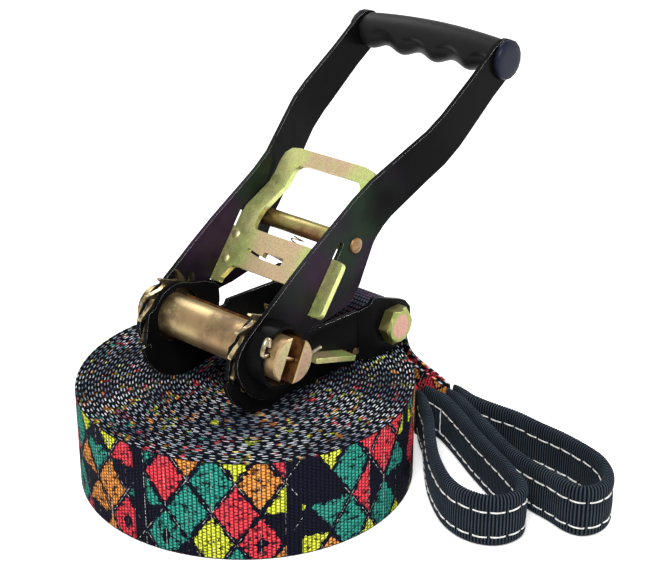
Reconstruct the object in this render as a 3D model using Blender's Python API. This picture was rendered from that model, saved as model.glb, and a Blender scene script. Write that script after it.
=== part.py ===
"""Slackline set: a webbing roll with two sewn end eyes and a long-handled tensioning ratchet.

Metres, +Z up. The origin is the axis of the roll on the floor. +X runs from the ratchet's
spindle to its anchor bolt, +Y to the far end of the spindle. "Near" is the -Y side.
"""
import math

import bpy
import bmesh
import numpy as np
from mathutils import Matrix, Vector
from mathutils.geometry import tessellate_polygon

for old_object in list(bpy.data.objects):
    bpy.data.objects.remove(old_object, do_unlink=True)

# Clearances
seat_gap = 0.0003
cut_overrun = 0.002

# Webbing roll
webbing_width = 0.050
webbing_thickness = 0.0025
roll_radius = 0.0832
roll_hole_radius = 0.0085
roll_turns = 24
turn_points = 24
line_tail_thickness = 0.0052

# Sewn eyes: a padded sleeve standing on edge
eye_height = 0.0262
eye_thickness = 0.0056
strap_layer = 0.0024

# Plates of the ratchet, measured from its middle plane
ratchet_y = -0.0024
plate_thickness = 0.0022
frame_half_width = 0.0255
frame_flare = 0.0045

# Spindle of two half-round bars
half_moon_radius = 0.0103
half_moon_outer = 0.0128
webbing_slot = 0.0093
half_moon_reach = 0.0480
slot_tilt = math.radians(63.4)

# Ratchet wheels
wheel_teeth = 12
wheel_tip_radius = 0.0210
wheel_root_radius = 0.0163
tooth_tip_angle = math.radians(3.0)
tooth_lean = math.radians(3.0)
tooth_root_angle = math.radians(11.0)

# Frame side plates: a lobe under the spindle, a round end at the bolt
lobe_radius = 0.0280
lobe_shift = 0.0050
lobe_drop = 0.0040
rim_radius = 0.0156
bolt_reach = 0.0865
bolt_drop = 0.0165
frame_end_radius = 0.0152
flare_start = 0.0665
flare_length = 0.0050

# Anchor bolt
bolt_radius = 0.0050
hex_flats = 0.0170
bolt_head_height = 0.0062
nut_height = 0.0080
bolt_tail = 0.0020
sleeve_radius = 0.0068

# Locking plate of the frame
lock_tilt = math.radians(-17.1)
lock_offset = 0.0055
lock_thickness = 0.0025
lock_tip = 0.0166
lock_body_start = 0.0310
lock_end = 0.0600
lock_ear_start = 0.0310
lock_ear_overhang = 0.0038
lock_travel = 0.0050
lock_notch_depth = 0.0140
lock_notch_half = 0.0052
lock_finger_half = 0.0015
lock_finger_length = 0.0100
stop_bar_radius = 0.0026
stop_bar_space = 0.0050
stop_tenon_radius = 0.0018

# Handle
handle_angle = math.radians(34.0)
handle_reach = 0.1860
handle_eye_radius = 0.0230
handle_eye_shift = 0.0027
handle_eye_drop = 0.0035
handle_splay = 0.0115
splay_start = 0.0800
splay_length = 0.0580
grip_rod_radius = 0.0040
grip_radius = 0.0090
grip_crown = 0.0024
groove_depth = 0.0016
grip_grooves = 3
handle_end_radius = 0.0100
handle_corner = 0.0040
edge_break = 0.0003
cap_radius = 0.0098
cap_height = 0.0030
rod_end_in_cap = 0.0016
cross_bar_along = 0.0670
cross_bar_below = 0.0056
cross_bar_radius = 0.0044
cross_bar_taper = 0.0025
cross_tenon_radius = 0.0028
rivet_head_radius = 0.0040
rivet_head_height = 0.0016

# Release pawl in the handle
pawl_angle = math.radians(53.0)
pawl_offset = 0.0173
pawl_thickness = 0.0030
pawl_tip = 0.0225
pawl_wing_end = 0.0505
pawl_wing_overhang = 0.0067
pawl_travel = 0.0080
pawl_body_start = 0.0322
pawl_window_start = 0.0520
pawl_window_end = 0.0903
pawl_near_arm = 0.0064
pawl_far_arm = 0.0108
pawl_end = 0.0980
pawl_side_gap = 0.0007
pawl_neck_cut = 0.0048
pawl_step_start = 0.0570
pawl_step_length = 0.0260
pawl_step = 0.0102
tab_slot_start = 0.0392
tab_slot_width = 0.0038
tab_slot_half = 0.0062
tab_slit_reach = 0.0165
tab_slit_width = 0.0013
tab_thickness = 0.0016
tab_half_width = 0.0050
tab_reach = 0.0108

# Springs, pins and washers
spring_wire = 0.0004
pawl_spring_wire = 0.00035
spring_radius = 0.0031
spring_sides = 5
spring_turn_points = 8
lock_spring_turns = 6
pawl_spring_turns = 4
cotter_wire = 0.0011
cotter_eye_depth = 0.0017
cotter_eye_height = 0.0040
cotter_eye_rise = 0.0030
cotter_stand_off = 0.0028
cotter_leg = 0.0100
cotter_stub = 0.0012
cotter_inset = 0.0045
washer_thickness = 0.0014
washer_radius = 0.0148

# Places worked out from the sizes above
spindle_x = -0.0230
spindle_z = webbing_width + seat_gap + max(lobe_radius + lobe_drop, bolt_drop + frame_end_radius)
bolt_x = spindle_x + bolt_reach
bolt_z = spindle_z - bolt_drop
spindle_bore = half_moon_outer + seat_gap
wheel_inner = frame_half_width + plate_thickness + seat_gap
handle_inner = wheel_inner + plate_thickness + seat_gap
handle_outer = handle_inner + plate_thickness
pawl_half_width = handle_inner - pawl_side_gap
pawl_neck_half = pawl_half_width - pawl_neck_cut
pawl_window_near = pawl_half_width - pawl_near_arm
pawl_window_far = pawl_half_width - pawl_far_arm
pawl_wing_reach = handle_outer + pawl_wing_overhang
lock_ear_reach = handle_outer + lock_ear_overhang
far_pin_level = handle_outer + 2 * seat_gap + washer_thickness + cotter_wire
half_moon_far_reach = far_pin_level + cotter_inset
grip_inner = handle_inner + handle_splay
grip_outer = grip_inner + plate_thickness
flared_outer = frame_half_width + plate_thickness + frame_flare
cam_radius = math.hypot(pawl_tip, pawl_offset - pawl_thickness / 2) - seat_gap
stop_bar_along = lock_end + lock_travel + stop_bar_space
wrap_radius = sleeve_radius + 2 * seat_gap + strap_layer / 2
roll_pitch = (roll_radius - webbing_thickness / 2 - roll_hole_radius) / roll_turns


def material(name, colour, roughness, metallic):
    """A Principled material with one colour."""
    made = bpy.data.materials.new(name)
    made.use_nodes = True
    shader = made.node_tree.nodes["Principled BSDF"]
    shader.inputs["Base Color"].default_value = (*colour, 1)
    shader.inputs["Roughness"].default_value = roughness
    shader.inputs["Metallic"].default_value = metallic
    return made


black_steel = material("black_steel", (0.012, 0.012, 0.014), 0.35, 0.2)
yellow_zinc = material("yellow_zinc", (0.62, 0.58, 0.32), 0.35, 0.9)
bronze_zinc = material("bronze_zinc", (0.58, 0.46, 0.30), 0.35, 0.9)
spring_steel = material("spring_steel", (0.55, 0.55, 0.55), 0.3, 1.0)
grip_rubber = material("grip_rubber", (0.05, 0.05, 0.055), 0.6, 0.0)
cap_plastic = material("cap_plastic", (0.035, 0.04, 0.055), 0.4, 0.0)
printed_webbing = material("printed_webbing", (0.03, 0.03, 0.07), 0.8, 0.0)
sleeve_webbing = material("sleeve_webbing", (0.03, 0.035, 0.045), 0.75, 0.0)


def pivot(name, place, tilt, parent=None):
    """An empty whose +X points up at the angle tilt, seen from the near side."""
    empty = bpy.data.objects.new(name, None)
    bpy.context.collection.objects.link(empty)
    empty.parent = parent
    empty.location = place
    empty.rotation_euler = (0, -tilt, 0)
    return empty


ratchet_frame = pivot("ratchet_frame", (spindle_x, ratchet_y, spindle_z), 0)
spindle_pivot = pivot("spindle_pivot", (spindle_x, ratchet_y, spindle_z), 0)
lock_guide = pivot("lock_guide", (spindle_x, ratchet_y, spindle_z), lock_tilt)
handle_pivot = pivot("handle_pivot", (spindle_x, ratchet_y, spindle_z), handle_angle)
pawl_guide = pivot("pawl_guide", (0, 0, 0), pawl_angle - handle_angle, handle_pivot)


def solid(name, points, faces, finish, parent=None, smooth_angle=40):
    """An object from points and faces, turned outwards and shaded."""
    mesh = bpy.data.meshes.new(name)
    mesh.from_pydata([tuple(p) for p in points], [], faces)
    shape = bmesh.new()
    shape.from_mesh(mesh)
    if shape.calc_volume(signed=True) < 0:
        bmesh.ops.reverse_faces(shape, faces=shape.faces[:])
    shape.to_mesh(mesh)
    shape.free()
    mesh.shade_smooth()
    mesh.set_sharp_from_angle(angle=math.radians(smooth_angle))
    mesh.materials.append(finish)
    made = bpy.data.objects.new(name, mesh)
    bpy.context.collection.objects.link(made)
    made.parent = parent
    return made


def loft(name, rings, finish, parent=None, smooth_angle=40):
    """A closed skin through rings that have the same number of points."""
    count = len(rings[0])
    points = [p for ring in rings for p in ring]
    faces = []
    for i in range(len(rings) - 1):
        for j in range(count):
            k = (j + 1) % count
            faces.append((i * count + j, i * count + k, (i + 1) * count + k, (i + 1) * count + j))
    last = (len(rings) - 1) * count
    faces.append(tuple(range(count))[::-1])
    faces.append(tuple(range(last, last + count)))
    return solid(name, points, faces, finish, parent, smooth_angle)


def pipe_loft(name, outer, inner, finish, parent=None, smooth_angle=40):
    """A skin between outer rings and the rings of a bore that runs right through."""
    rings = outer + inner[::-1]
    count = len(outer[0])
    points = [p for ring in rings for p in ring]
    faces = []
    for i in range(len(rings)):
        n = (i + 1) % len(rings)
        for j in range(count):
            k = (j + 1) % count
            faces.append((i * count + j, i * count + k, n * count + k, n * count + j))
    return solid(name, points, faces, finish, parent, smooth_angle)


def plate(name, loops, low, high, across, finish, parent=None):
    """A plate with holes: loops are an outline and its holes, low and high its two faces.

    across is the axis through the plate, "y" for a side plate and "z" for a cross plate.
    """
    def place(point, level):
        a, b = point
        return (a, level, b) if across == "y" else (a, b, level)

    flat = [p for loop in loops for p in loop]
    triangles = tessellate_polygon([[Vector((a, b, 0)) for a, b in loop] for loop in loops])
    total = len(flat)
    points = [place(p, low) for p in flat] + [place(p, high) for p in flat]
    turned = []
    for t in triangles:
        a, b, c = (Vector(flat[i]) for i in t)
        turned.append(tuple(t) if (b - a).cross(c - a) > 0 else tuple(t)[::-1])
    faces = [t[::-1] for t in turned] + [tuple(i + total for i in t) for t in turned]
    start = 0
    for number, loop in enumerate(loops):
        area = sum(loop[i - 1][0] * loop[i][1] - loop[i][0] * loop[i - 1][1] for i in range(len(loop)))
        forward = (area > 0) == (number == 0)
        for i in range(len(loop)):
            a, b = start + i, start + (i + 1) % len(loop)
            wall = (a, b, b + total, a + total)
            faces.append(wall if forward else wall[::-1])
        start += len(loop)
    return solid(name, points, faces, finish, parent)


def bend(thing, knots, direction):
    """Shift a plate along direction by an amount that changes along its local X between knots."""
    shape = bmesh.new()
    shape.from_mesh(thing.data)
    for along, _ in knots:
        everything = shape.verts[:] + shape.edges[:] + shape.faces[:]
        bmesh.ops.bisect_plane(shape, geom=everything, plane_co=(along, 0, 0), plane_no=(1, 0, 0))
    places = [k[0] for k in knots]
    shifts = [k[1] for k in knots]
    for vertex in shape.verts:
        vertex.co += Vector(direction) * float(np.interp(vertex.co.x, places, shifts))
    bmesh.ops.triangulate(shape, faces=shape.faces[:])
    shape.to_mesh(thing.data)
    shape.free()
    thing.data.shade_smooth()
    thing.data.set_sharp_from_angle(angle=math.radians(40))


def joggle_knots(start, length, shift):
    """A smooth S-shaped step, as places and shifts."""
    eased_shares = [(0, 0), (0.2, 0.10), (0.8, 0.90), (1, 1)]
    return [(start + a * length, b * shift) for a, b in eased_shares]


def arc(centre, radius, first, last, steps):
    """Points on a circle from the angle first to the angle last, in radians."""
    angles = np.linspace(first, last, steps + 1)
    return [(centre[0] + radius * math.cos(a), centre[1] + radius * math.sin(a)) for a in angles]


def circle(centre, radius, count):
    """A closed ring of points."""
    return arc(centre, radius, 0, math.tau * (count - 1) / count, count - 1)


def filleted(corners, radii, steps=4):
    """A polygon with each corner rounded to its own radius."""
    points = []
    count = len(corners)
    for i, radius in enumerate(radii):
        before, here, after = (Vector(corners[(i + k) % count]) for k in (-1, 0, 1))
        if radius == 0:
            points.append(tuple(here))
            continue
        one, two = (before - here), (after - here)
        reach = min(one.length, two.length) / 2
        half = one.angle(two) / 2
        cut = min(radius / math.tan(half), reach)
        a, b = here + one.normalized() * cut, here + two.normalized() * cut
        for step in range(steps + 1):
            t = step / steps
            points.append(tuple(a * (1 - t) ** 2 + here * 2 * t * (1 - t) + b * t ** 2))
    return points


def slot_loop(start, end, half_width, centre, tilt, across):
    """A rectangular slot on a line that leaves the point centre at tilt, offset sideways by across."""
    along = Vector((math.cos(tilt), math.sin(tilt)))
    side = Vector((-along.y, along.x))
    middle = Vector(centre) + side * across
    ends = [(start, -half_width), (end, -half_width), (end, half_width), (start, half_width)]
    corners = [middle + along * a + side * b for a, b in ends]
    return filleted(corners, [half_width / 2] * 4, 2)


def turned(name, profile, count, finish, parent, place=(0, 0), smooth_angle=40):
    """A shape turned about a line along Y: profile holds (y, radius) pairs."""
    rings = []
    for y, radius in profile:
        rings.append([(a, y, b) for a, b in circle(place, radius, count)])
    return loft(name, rings, finish, parent, smooth_angle)


def turned_pipe(name, profile, bore, count, finish, parent, place=(0, 0)):
    """A turned shape with a bore right through it."""
    outer = [[(a, y, b) for a, b in circle(place, radius, count)] for y, radius in profile]
    ends = (profile[0][0], profile[-1][0])
    inner = [[(a, y, b) for a, b in circle(place, bore, count)] for y in ends]
    return pipe_loft(name, outer, inner, finish, parent)


def frames_along(path):
    """A tangent and two normals at each point of a path, turning as little as they can."""
    path = [Vector(p) for p in path]
    tangents = []
    for i in range(len(path)):
        a, b = path[max(i - 1, 0)], path[min(i + 1, len(path) - 1)]
        tangents.append((b - a).normalized())
    guess = Vector((0, 0, 1)) if abs(tangents[0].z) < 0.9 else Vector((1, 0, 0))
    normal = (guess - tangents[0] * guess.dot(tangents[0])).normalized()
    result = []
    for tangent in tangents:
        normal = (normal - tangent * normal.dot(tangent)).normalized()
        result.append((tangent, normal, tangent.cross(normal)))
    return result


def tube(name, path, radius, sides, finish, parent):
    """A round wire along a path."""
    rings = []
    for point, (_, a, b) in zip(path, frames_along(path)):
        angles = [math.tau * k / sides for k in range(sides)]
        rings.append([Vector(point) + a * radius * math.cos(t) + b * radius * math.sin(t) for t in angles])
    return loft(name, rings, finish, parent, 70)


def cutter(thing, tool, operation):
    """Cut or join a hidden tool shape on an object."""
    tool.hide_render = True
    tool.display_type = "WIRE"
    change = thing.modifiers.new(operation.lower(), "BOOLEAN")
    change.operation = operation
    change.object = tool


def least_gap(points, thickness, skip):
    """The narrowest gap of a wound piece to itself; skip is how far along it a neighbour starts."""
    places = np.array([tuple(p) for p in points])
    steps = np.linalg.norm(np.diff(places, axis=0), axis=1)
    along = np.concatenate([[0], np.cumsum(steps)])
    starts, ends = places[:-1], places[1:]
    runs = ends - starts
    best = math.inf
    for i, place in enumerate(places):
        far = np.abs((along[:-1] + along[1:]) / 2 - along[i]) > skip
        if not far.any():
            continue
        share = ((place - starts[far]) * runs[far]).sum(1) / (runs[far] ** 2).sum(1)
        nearest = starts[far] + runs[far] * np.clip(share, 0, 1)[:, None]
        best = min(best, float(np.linalg.norm(place - nearest, axis=1).min()))
    return best - thickness


def bezier(a, b, c, d, steps):
    """Points on a cubic curve, without its last one."""
    a, b, c, d = (Vector(p) for p in (a, b, c, d))
    points = []
    for k in range(steps):
        t = k / steps
        points.append(a * (1 - t) ** 3 + b * 3 * t * (1 - t) ** 2 + c * 3 * t * t * (1 - t) + d * t ** 3)
    return points


def smooth_path(points, per_span):
    """A smooth curve through the points, with per_span steps between each two."""
    points = [Vector(p) for p in points]
    padded = [points[0] * 2 - points[1]] + points + [points[-1] * 2 - points[-2]]
    result = []
    for i in range(1, len(padded) - 2):
        p0, p1, p2, p3 = padded[i - 1:i + 3]
        for k in range(per_span):
            t = k / per_span
            result.append(0.5 * (p1 * 2 + (p2 - p0) * t + (p0 * 2 - p1 * 5 + p2 * 4 - p3) * t * t
                                 + (p1 * 3 - p0 - p2 * 3 + p3) * t ** 3))
    return result + [points[-1]]


def band_ring(point, side, thickness, low, high):
    """The four corners of a flat band: its thickness along side, its edges at low and high."""
    across = side * (thickness / 2)
    return [point - across + low, point + across + low, point + across + high, point - across + high]


# The roll: wound clockwise seen from above, from a straight tongue across its centre
def roll_path():
    """The middle line of the rolled webbing in plan."""
    reach = roll_hole_radius / 2
    start_angle = math.radians(-50)
    end_angle = math.radians(-20)
    begin = Vector((math.cos(start_angle), math.sin(start_angle))) * roll_hole_radius
    heading = Vector((math.sin(start_angle), -math.cos(start_angle)))
    path = [Vector((-reach, 0)), Vector((0, 0))]
    path += bezier((reach, 0), (reach * 2, 0), begin - heading * reach, begin, 6)
    swept = math.tau * (roll_turns - 1) + math.tau + start_angle - end_angle
    steps = round(swept / math.tau * turn_points)
    for k in range(steps + 1):
        turn = swept * k / steps
        radius = roll_hole_radius + roll_pitch * roll_turns * turn / swept
        angle = start_angle - turn
        path.append(Vector((math.cos(angle), math.sin(angle))) * radius)
    return path


def eye_ring(point, side):
    """The cross-section of a padded sleeve: flat sides, rolled top and bottom."""
    half = eye_thickness / 2
    section_shares = [(-0.55, 0), (0.55, 0), (1, 0.10), (1, 0.88),
                      (0.55, 1), (-0.55, 1), (-1, 0.88), (-1, 0.10)]
    return [point + side * (a * half) + Vector((0, 0, b * eye_height)) for a, b in section_shares]


def make_eye(name, plan_shares, per_span):
    """A sewn eye that stands on the floor, along a plan in radii of the roll."""
    path = smooth_path([(x * roll_radius, y * roll_radius, 0) for x, y in plan_shares], per_span)
    rings = []
    for i, point in enumerate(path):
        run = (path[min(i + 1, len(path) - 1)] - path[max(i - 1, 0)]).normalized()
        rings.append(eye_ring(point, Vector((-run.y, run.x, 0))))
    return loft(name, rings, sleeve_webbing, None, 60)


line_eye_plan_shares = [
    (0.938, -0.484), (0.930, -0.518), (0.895, -0.565), (0.829, -0.637), (0.751, -0.724), (0.601, -0.856),
    (0.419, -1.031), (0.270, -1.226), (0.209, -1.373), (0.208, -1.496), (0.250, -1.587), (0.322, -1.635),
    (0.409, -1.641), (0.481, -1.596), (0.532, -1.508), (0.595, -1.400), (0.672, -1.243), (0.768, -1.058),
    (0.879, -0.865), (0.981, -0.673), (1.005, -0.577), (1.010, -0.526), (1.010, -0.484),
]
strap_eye_plan_shares = [
    (1.073, -0.612), (1.070, -0.649), (1.046, -0.721), (0.986, -0.841), (0.877, -1.046), (0.745, -1.292),
    (0.679, -1.490), (0.646, -1.659), (0.613, -1.788), (0.631, -1.872), (0.715, -1.914), (0.817, -1.899),
    (0.901, -1.839), (0.977, -1.740), (1.022, -1.617), (1.061, -1.442), (1.079, -1.268), (1.100, -1.094),
    (1.094, -0.925), (1.097, -0.781), (1.119, -0.709), (1.138, -0.652), (1.142, -0.612),
]


tail_end_shares = (0.971, -0.478)
tail_lead_share = 0.07


def make_line_tail():
    """The outer end of the roll, folded narrow and thick on its way to the eye."""
    path = roll_path()
    heading = (path[-1] - path[-2]).normalized()
    start = path[-1] + heading * seat_gap
    aim = Vector(tail_end_shares) * roll_radius
    lead = webbing_width * tail_lead_share
    curve = bezier(start, start + heading * lead, aim + Vector((0, lead)), aim, 8) + [aim]
    rings = []
    for k, point in enumerate(curve):
        share = k / (len(curve) - 1)
        ease = share * share * (3 - 2 * share)
        run = (curve[min(k + 1, len(curve) - 1)] - curve[max(k - 1, 0)]).normalized()
        side = Vector((-run.y, run.x, 0))
        thick = webbing_thickness + (line_tail_thickness - webbing_thickness) * ease
        high = webbing_width + (eye_height - webbing_width) * ease
        rings.append(band_ring(Vector((*point, 0)), side, thick, Vector(), Vector((0, 0, high))))
    return loft("line_tail", rings, printed_webbing)


def make_line_roll():
    """The long webbing rolled up on its edge."""
    path = roll_path()
    skip = roll_hole_radius * 2.5
    print("least gap of the roll to itself, m:", round(least_gap(path, webbing_thickness, skip), 5))
    rings = []
    for i, point in enumerate(path):
        run = (path[min(i + 1, len(path) - 1)] - path[max(i - 1, 0)]).normalized()
        side = Vector((-run.y, run.x, 0))
        high = Vector((0, 0, webbing_width))
        rings.append(band_ring(Vector((*point, 0)), side, webbing_thickness, Vector(), high))
    return loft("line_roll", rings, printed_webbing)


# The two limbs of the short strap: its middle in radii of the roll and widths of the webbing,
# then from the middle to its near edge in widths of the webbing
outer_limb_shares = [
    (1.101, -0.606, 0.270, 0, 0, 0.254), (1.112, -0.481, 0.312, -0.020, -0.060, 0.285),
    (1.097, -0.325, 0.420, -0.075, -0.205, 0.280), (1.071, -0.180, 0.640, -0.110, -0.335, 0.200),
    (1.058, -0.084, 0.900, -0.110, -0.440, 0.100), (1.019, -0.041, 1.150, -0.050, -0.484, 0.030),
    (0.938, -0.029, 1.350, 0, -0.490, 0), (0.841, -0.029, 1.466, 0, -0.490, 0)]
inner_limb_shares = [
    (0.859, -0.029, 1.116, 0, -0.490, 0), (0.956, -0.030, 1.084, -0.030, -0.488, 0.002),
    (1.017, -0.047, 1.020, -0.080, -0.476, -0.020), (1.025, -0.096, 0.830, -0.100, -0.412, 0.070),
    (1.025, -0.192, 0.600, -0.090, -0.300, 0.190), (1.049, -0.325, 0.410, -0.050, -0.185, 0.260),
    (1.071, -0.469, 0.312, -0.012, -0.060, 0.270), (1.064, -0.606, 0.270, 0, 0, 0.254)]
strap_half_width_share = 0.49


drawn_bolt_shares = (0.7632, 1.316)


def limb_stations(limb_shares, first, last):
    """Places along one limb; first and last say how far its two ends follow the bolt."""
    shift_x = bolt_x - drawn_bolt_shares[0] * roll_radius
    shift_z = bolt_z - drawn_bolt_shares[1] * webbing_width
    stations = []
    for s, follow in zip(limb_shares, np.linspace(first, last, len(limb_shares))):
        middle = Vector((s[0] * roll_radius, s[1] * roll_radius, s[2] * webbing_width))
        shift = Vector((shift_x, 0, shift_z)) * float(follow)
        stations.append((middle + shift, Vector(s[3:]) * webbing_width))
    return stations


def strap_stations():
    """The middle of the short strap and its reach to the near edge, limb to limb round the bolt."""
    wrap = arc((bolt_x, bolt_z), wrap_radius, math.radians(82), math.radians(278), 6)
    near = Vector((0, -strap_half_width_share * webbing_width, 0))
    stations = limb_stations(outer_limb_shares, 0, 1)
    stations += [(Vector((x, ratchet_y, z)), near) for x, z in wrap]
    stations += limb_stations(inner_limb_shares, 1, 0)
    return [s[0] for s in stations], [s[1] for s in stations]


def make_strap_loop():
    """The short strap laid round the anchor bolt; both limbs twist down to the eye."""
    middles, reaches = strap_stations()
    middles = smooth_path(middles, 2)
    reaches = smooth_path(reaches, 2)
    rings = []
    for i, (middle, reach) in enumerate(zip(middles, reaches)):
        run = (middles[min(i + 1, len(middles) - 1)] - middles[max(i - 1, 0)]).normalized()
        across = run.cross(reach).normalized()
        rings.append(band_ring(middle, across, strap_layer, -reach, reach))
    return loft("strap_bolt_loop", rings, printed_webbing, None, 50)


frame_top_shares = [(1.124, -0.0925), (1.080, -0.0705), (0.971, -0.030), (0.872, 0.007), (0.846, 0.005),
                    (0.816, -0.025), (0.780, -0.060), (0.609, -0.0509),
                    (0.3815, -0.0416), (0.364, -0.0694), (0.306, -0.0694)]
frame_hump_shares = [(0.868, 0.286), (0.625, 0.400)]
frame_shoulder_shares = [(-0.629, 0.214), (-0.671, 0.050), (-0.714, -0.168), (-0.729, -0.300),
                         (-0.629, -0.314), (-0.629, -0.400)]


def frame_outline():
    """The outline of a frame side plate, from the underside of its lobe round by the bolt."""
    lobe = arc((lobe_shift, -lobe_drop), lobe_radius, math.radians(195), math.radians(292), 9)
    end = arc((bolt_reach, -bolt_drop), frame_end_radius, math.radians(-110), math.radians(15), 9)
    top = [(a * bolt_reach, b * bolt_reach) for a, b in frame_top_shares]
    cam = arc((0, 0), cam_radius, math.radians(-3), math.radians(12), 3)
    hump = [(a * lobe_radius, b * lobe_radius) for a, b in frame_hump_shares]
    rim = arc((0, 0), rim_radius, math.radians(58), math.radians(152), 6)
    shoulder = [(a * lobe_radius, b * lobe_radius) for a, b in frame_shoulder_shares]
    return lobe + end + top + cam + hump + rim + shoulder


def softened(thing):
    """Break the sharp edges of a stamped plate."""
    change = thing.modifiers.new("edge", "BEVEL")
    change.width = edge_break
    change.segments = 1
    change.limit_method = "ANGLE"
    change.angle_limit = math.radians(50)


def lock_slot():
    """The straight slot in a frame plate in which the locking plate slides."""
    start = lock_tip - 2 * seat_gap
    end = lock_end + lock_travel + 2 * seat_gap
    half = lock_thickness / 2 + seat_gap
    return slot_loop(start, end, half, (0, 0), lock_tilt, -lock_offset)


def stop_bar_place():
    """The centre of the stop bar, seen from the spindle."""
    along = Vector((math.cos(lock_tilt), math.sin(lock_tilt)))
    side = Vector((-along.y, along.x))
    return tuple(along * stop_bar_along - side * lock_offset)


def make_frame_plate(name, side):
    """A side plate of the frame, joggled outwards at the bolt."""
    holes = [circle((0, 0), spindle_bore, 24), circle((bolt_reach, -bolt_drop), bolt_radius + seat_gap, 14),
             lock_slot(), circle(stop_bar_place(), stop_tenon_radius + seat_gap, 10)]
    near_face = side * frame_half_width
    far_face = side * (frame_half_width + plate_thickness)
    low, high = sorted((near_face, far_face))
    made = plate(name, [frame_outline()] + holes, low, high, "y", black_steel, ratchet_frame)
    bend(made, joggle_knots(flare_start, flare_length, frame_flare), (0, side, 0))
    softened(made)
    return made


def hexagon(centre, flats, count, limit):
    """A ring on a hexagon, no farther out than limit."""
    points = []
    for k in range(count):
        angle = math.tau * k / count
        off = (angle % (math.tau / 6)) - math.tau / 12
        reach = min(flats / 2 / math.cos(off), limit)
        points.append((centre[0] + reach * math.cos(angle), centre[1] + reach * math.sin(angle)))
    return points


def hex_rings(levels, centre):
    """Rings of a hexagon with its corners broken at one end."""
    rings = []
    for y, limit in levels:
        rings.append([(a, y, b) for a, b in hexagon(centre, hex_flats, 24, limit)])
    return rings


def make_bolt():
    """The anchor bolt, with its head on the near side."""
    centre = (bolt_reach, -bolt_drop)
    head = -(flared_outer + seat_gap)
    top = head - bolt_head_height
    tail = flared_outer + 2 * seat_gap + nut_height + bolt_tail
    corner = hex_flats / 2 / math.cos(math.tau / 12)
    chamfer = bolt_head_height / 6
    levels = [(top, hex_flats / 2 - chamfer / 2), (top + chamfer, corner), (head, corner)]
    rings = hex_rings(levels, centre)
    for y, radius in [(head, bolt_radius), (tail - chamfer, bolt_radius), (tail, bolt_radius - chamfer)]:
        rings.append([(a, y, b) for a, b in circle(centre, radius, 24)])
    return loft("anchor_bolt", rings, yellow_zinc, ratchet_frame)


def make_nut():
    """The nut on the far side of the anchor bolt."""
    centre = (bolt_reach, -bolt_drop)
    start = flared_outer + seat_gap
    end = start + nut_height
    corner = hex_flats / 2 / math.cos(math.tau / 12)
    chamfer = nut_height / 8
    levels = [(start, hex_flats / 2), (start + chamfer, corner),
              (end - chamfer, corner), (end, hex_flats / 2)]
    bore = bolt_radius + seat_gap
    inner = [[(a, y, b) for a, b in circle(centre, bore, 24)] for y in (start, end)]
    return pipe_loft("anchor_nut", hex_rings(levels, centre), inner, yellow_zinc, ratchet_frame)


def make_sleeve():
    """The spacer tube on the anchor bolt that the strap bears on."""
    half = frame_half_width + frame_flare - seat_gap
    bore = bolt_radius + seat_gap
    centre = (bolt_reach, -bolt_drop)
    edge = edge_break * 2
    profile = [(-half, sleeve_radius - edge), (edge - half, sleeve_radius), (half - edge, sleeve_radius),
               (half, sleeve_radius - edge)]
    return turned_pipe("bolt_sleeve", profile, bore, 20, bronze_zinc, ratchet_frame, centre)


def make_stop_bar():
    """The bar between the frame plates that the lock spring pushes from."""
    outer = frame_half_width + plate_thickness
    inner = frame_half_width - seat_gap
    profile = [(-outer, stop_tenon_radius), (-inner, stop_tenon_radius), (-inner, stop_bar_radius),
               (inner, stop_bar_radius), (inner, stop_tenon_radius), (outer, stop_tenon_radius)]
    return turned("lock_stop_bar", profile, 12, bronze_zinc, ratchet_frame, stop_bar_place())


# Locking plate
def mirrored(half):
    """A closed outline from its upper half, listed from the start to the end of the part."""
    return [(a, -b) for a, b in half] + [(a, b) for a, b in half[::-1]]


def make_lock_plate():
    """The plate that slides through the frame and bites into both wheels."""
    tongue = frame_half_width - seat_gap * 5
    reach = wheel_inner + plate_thickness
    notch = lock_end - lock_notch_depth
    finger = notch + lock_finger_length
    half = [(lock_body_start, tongue), (lock_tip, tongue), (lock_tip, reach), (lock_ear_start, reach),
            (lock_ear_start, lock_ear_reach), (lock_end, lock_ear_reach), (lock_end, lock_notch_half),
            (notch, lock_notch_half), (notch, lock_finger_half), (finger, lock_finger_half)]
    corner = plate_thickness / 2
    radius_shares = [0.8, 0, 0, 0.4, 0.8, 1.2, 0.5, 0.4, 0, 0.3]
    radii = [corner * a for a in radius_shares]
    outline = filleted(mirrored(half), radii + radii[::-1], 2)
    low = -lock_offset - lock_thickness / 2
    made = plate("lock_plate", [outline], low, low + lock_thickness, "z", bronze_zinc, lock_guide)
    softened(made)
    return made


def coil_path(start, end, radius, turns, height):
    """A spring along X with its two end turns closed up."""
    count = turns * spring_turn_points
    points = []
    for k in range(count + 1):
        share = k / count
        eased = share - 0.5 / math.tau / turns * math.sin(math.tau * share) * 2
        angle = math.tau * turns * share
        across, up = radius * math.cos(angle), radius * math.sin(angle)
        points.append((start + (end - start) * eased, across, height + up))
    return points


def make_spring(name, start, end, turns, wire, height, guide):
    """A pressed spring; its least gap to itself is printed."""
    path = coil_path(start + wire, end - wire, spring_radius, turns, height)
    print("least gap of", name, "to itself, m:", round(least_gap(path, wire * 2, spring_radius * 3), 5))
    return tube(name, path, wire, spring_sides, spring_steel, guide)


def make_lock_spring():
    """The spring that pushes the locking plate into the wheels."""
    start = lock_end - lock_notch_depth + seat_gap
    end = stop_bar_along - stop_bar_radius - seat_gap
    return make_spring("lock_spring", start, end, lock_spring_turns, spring_wire, -lock_offset, lock_guide)


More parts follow.
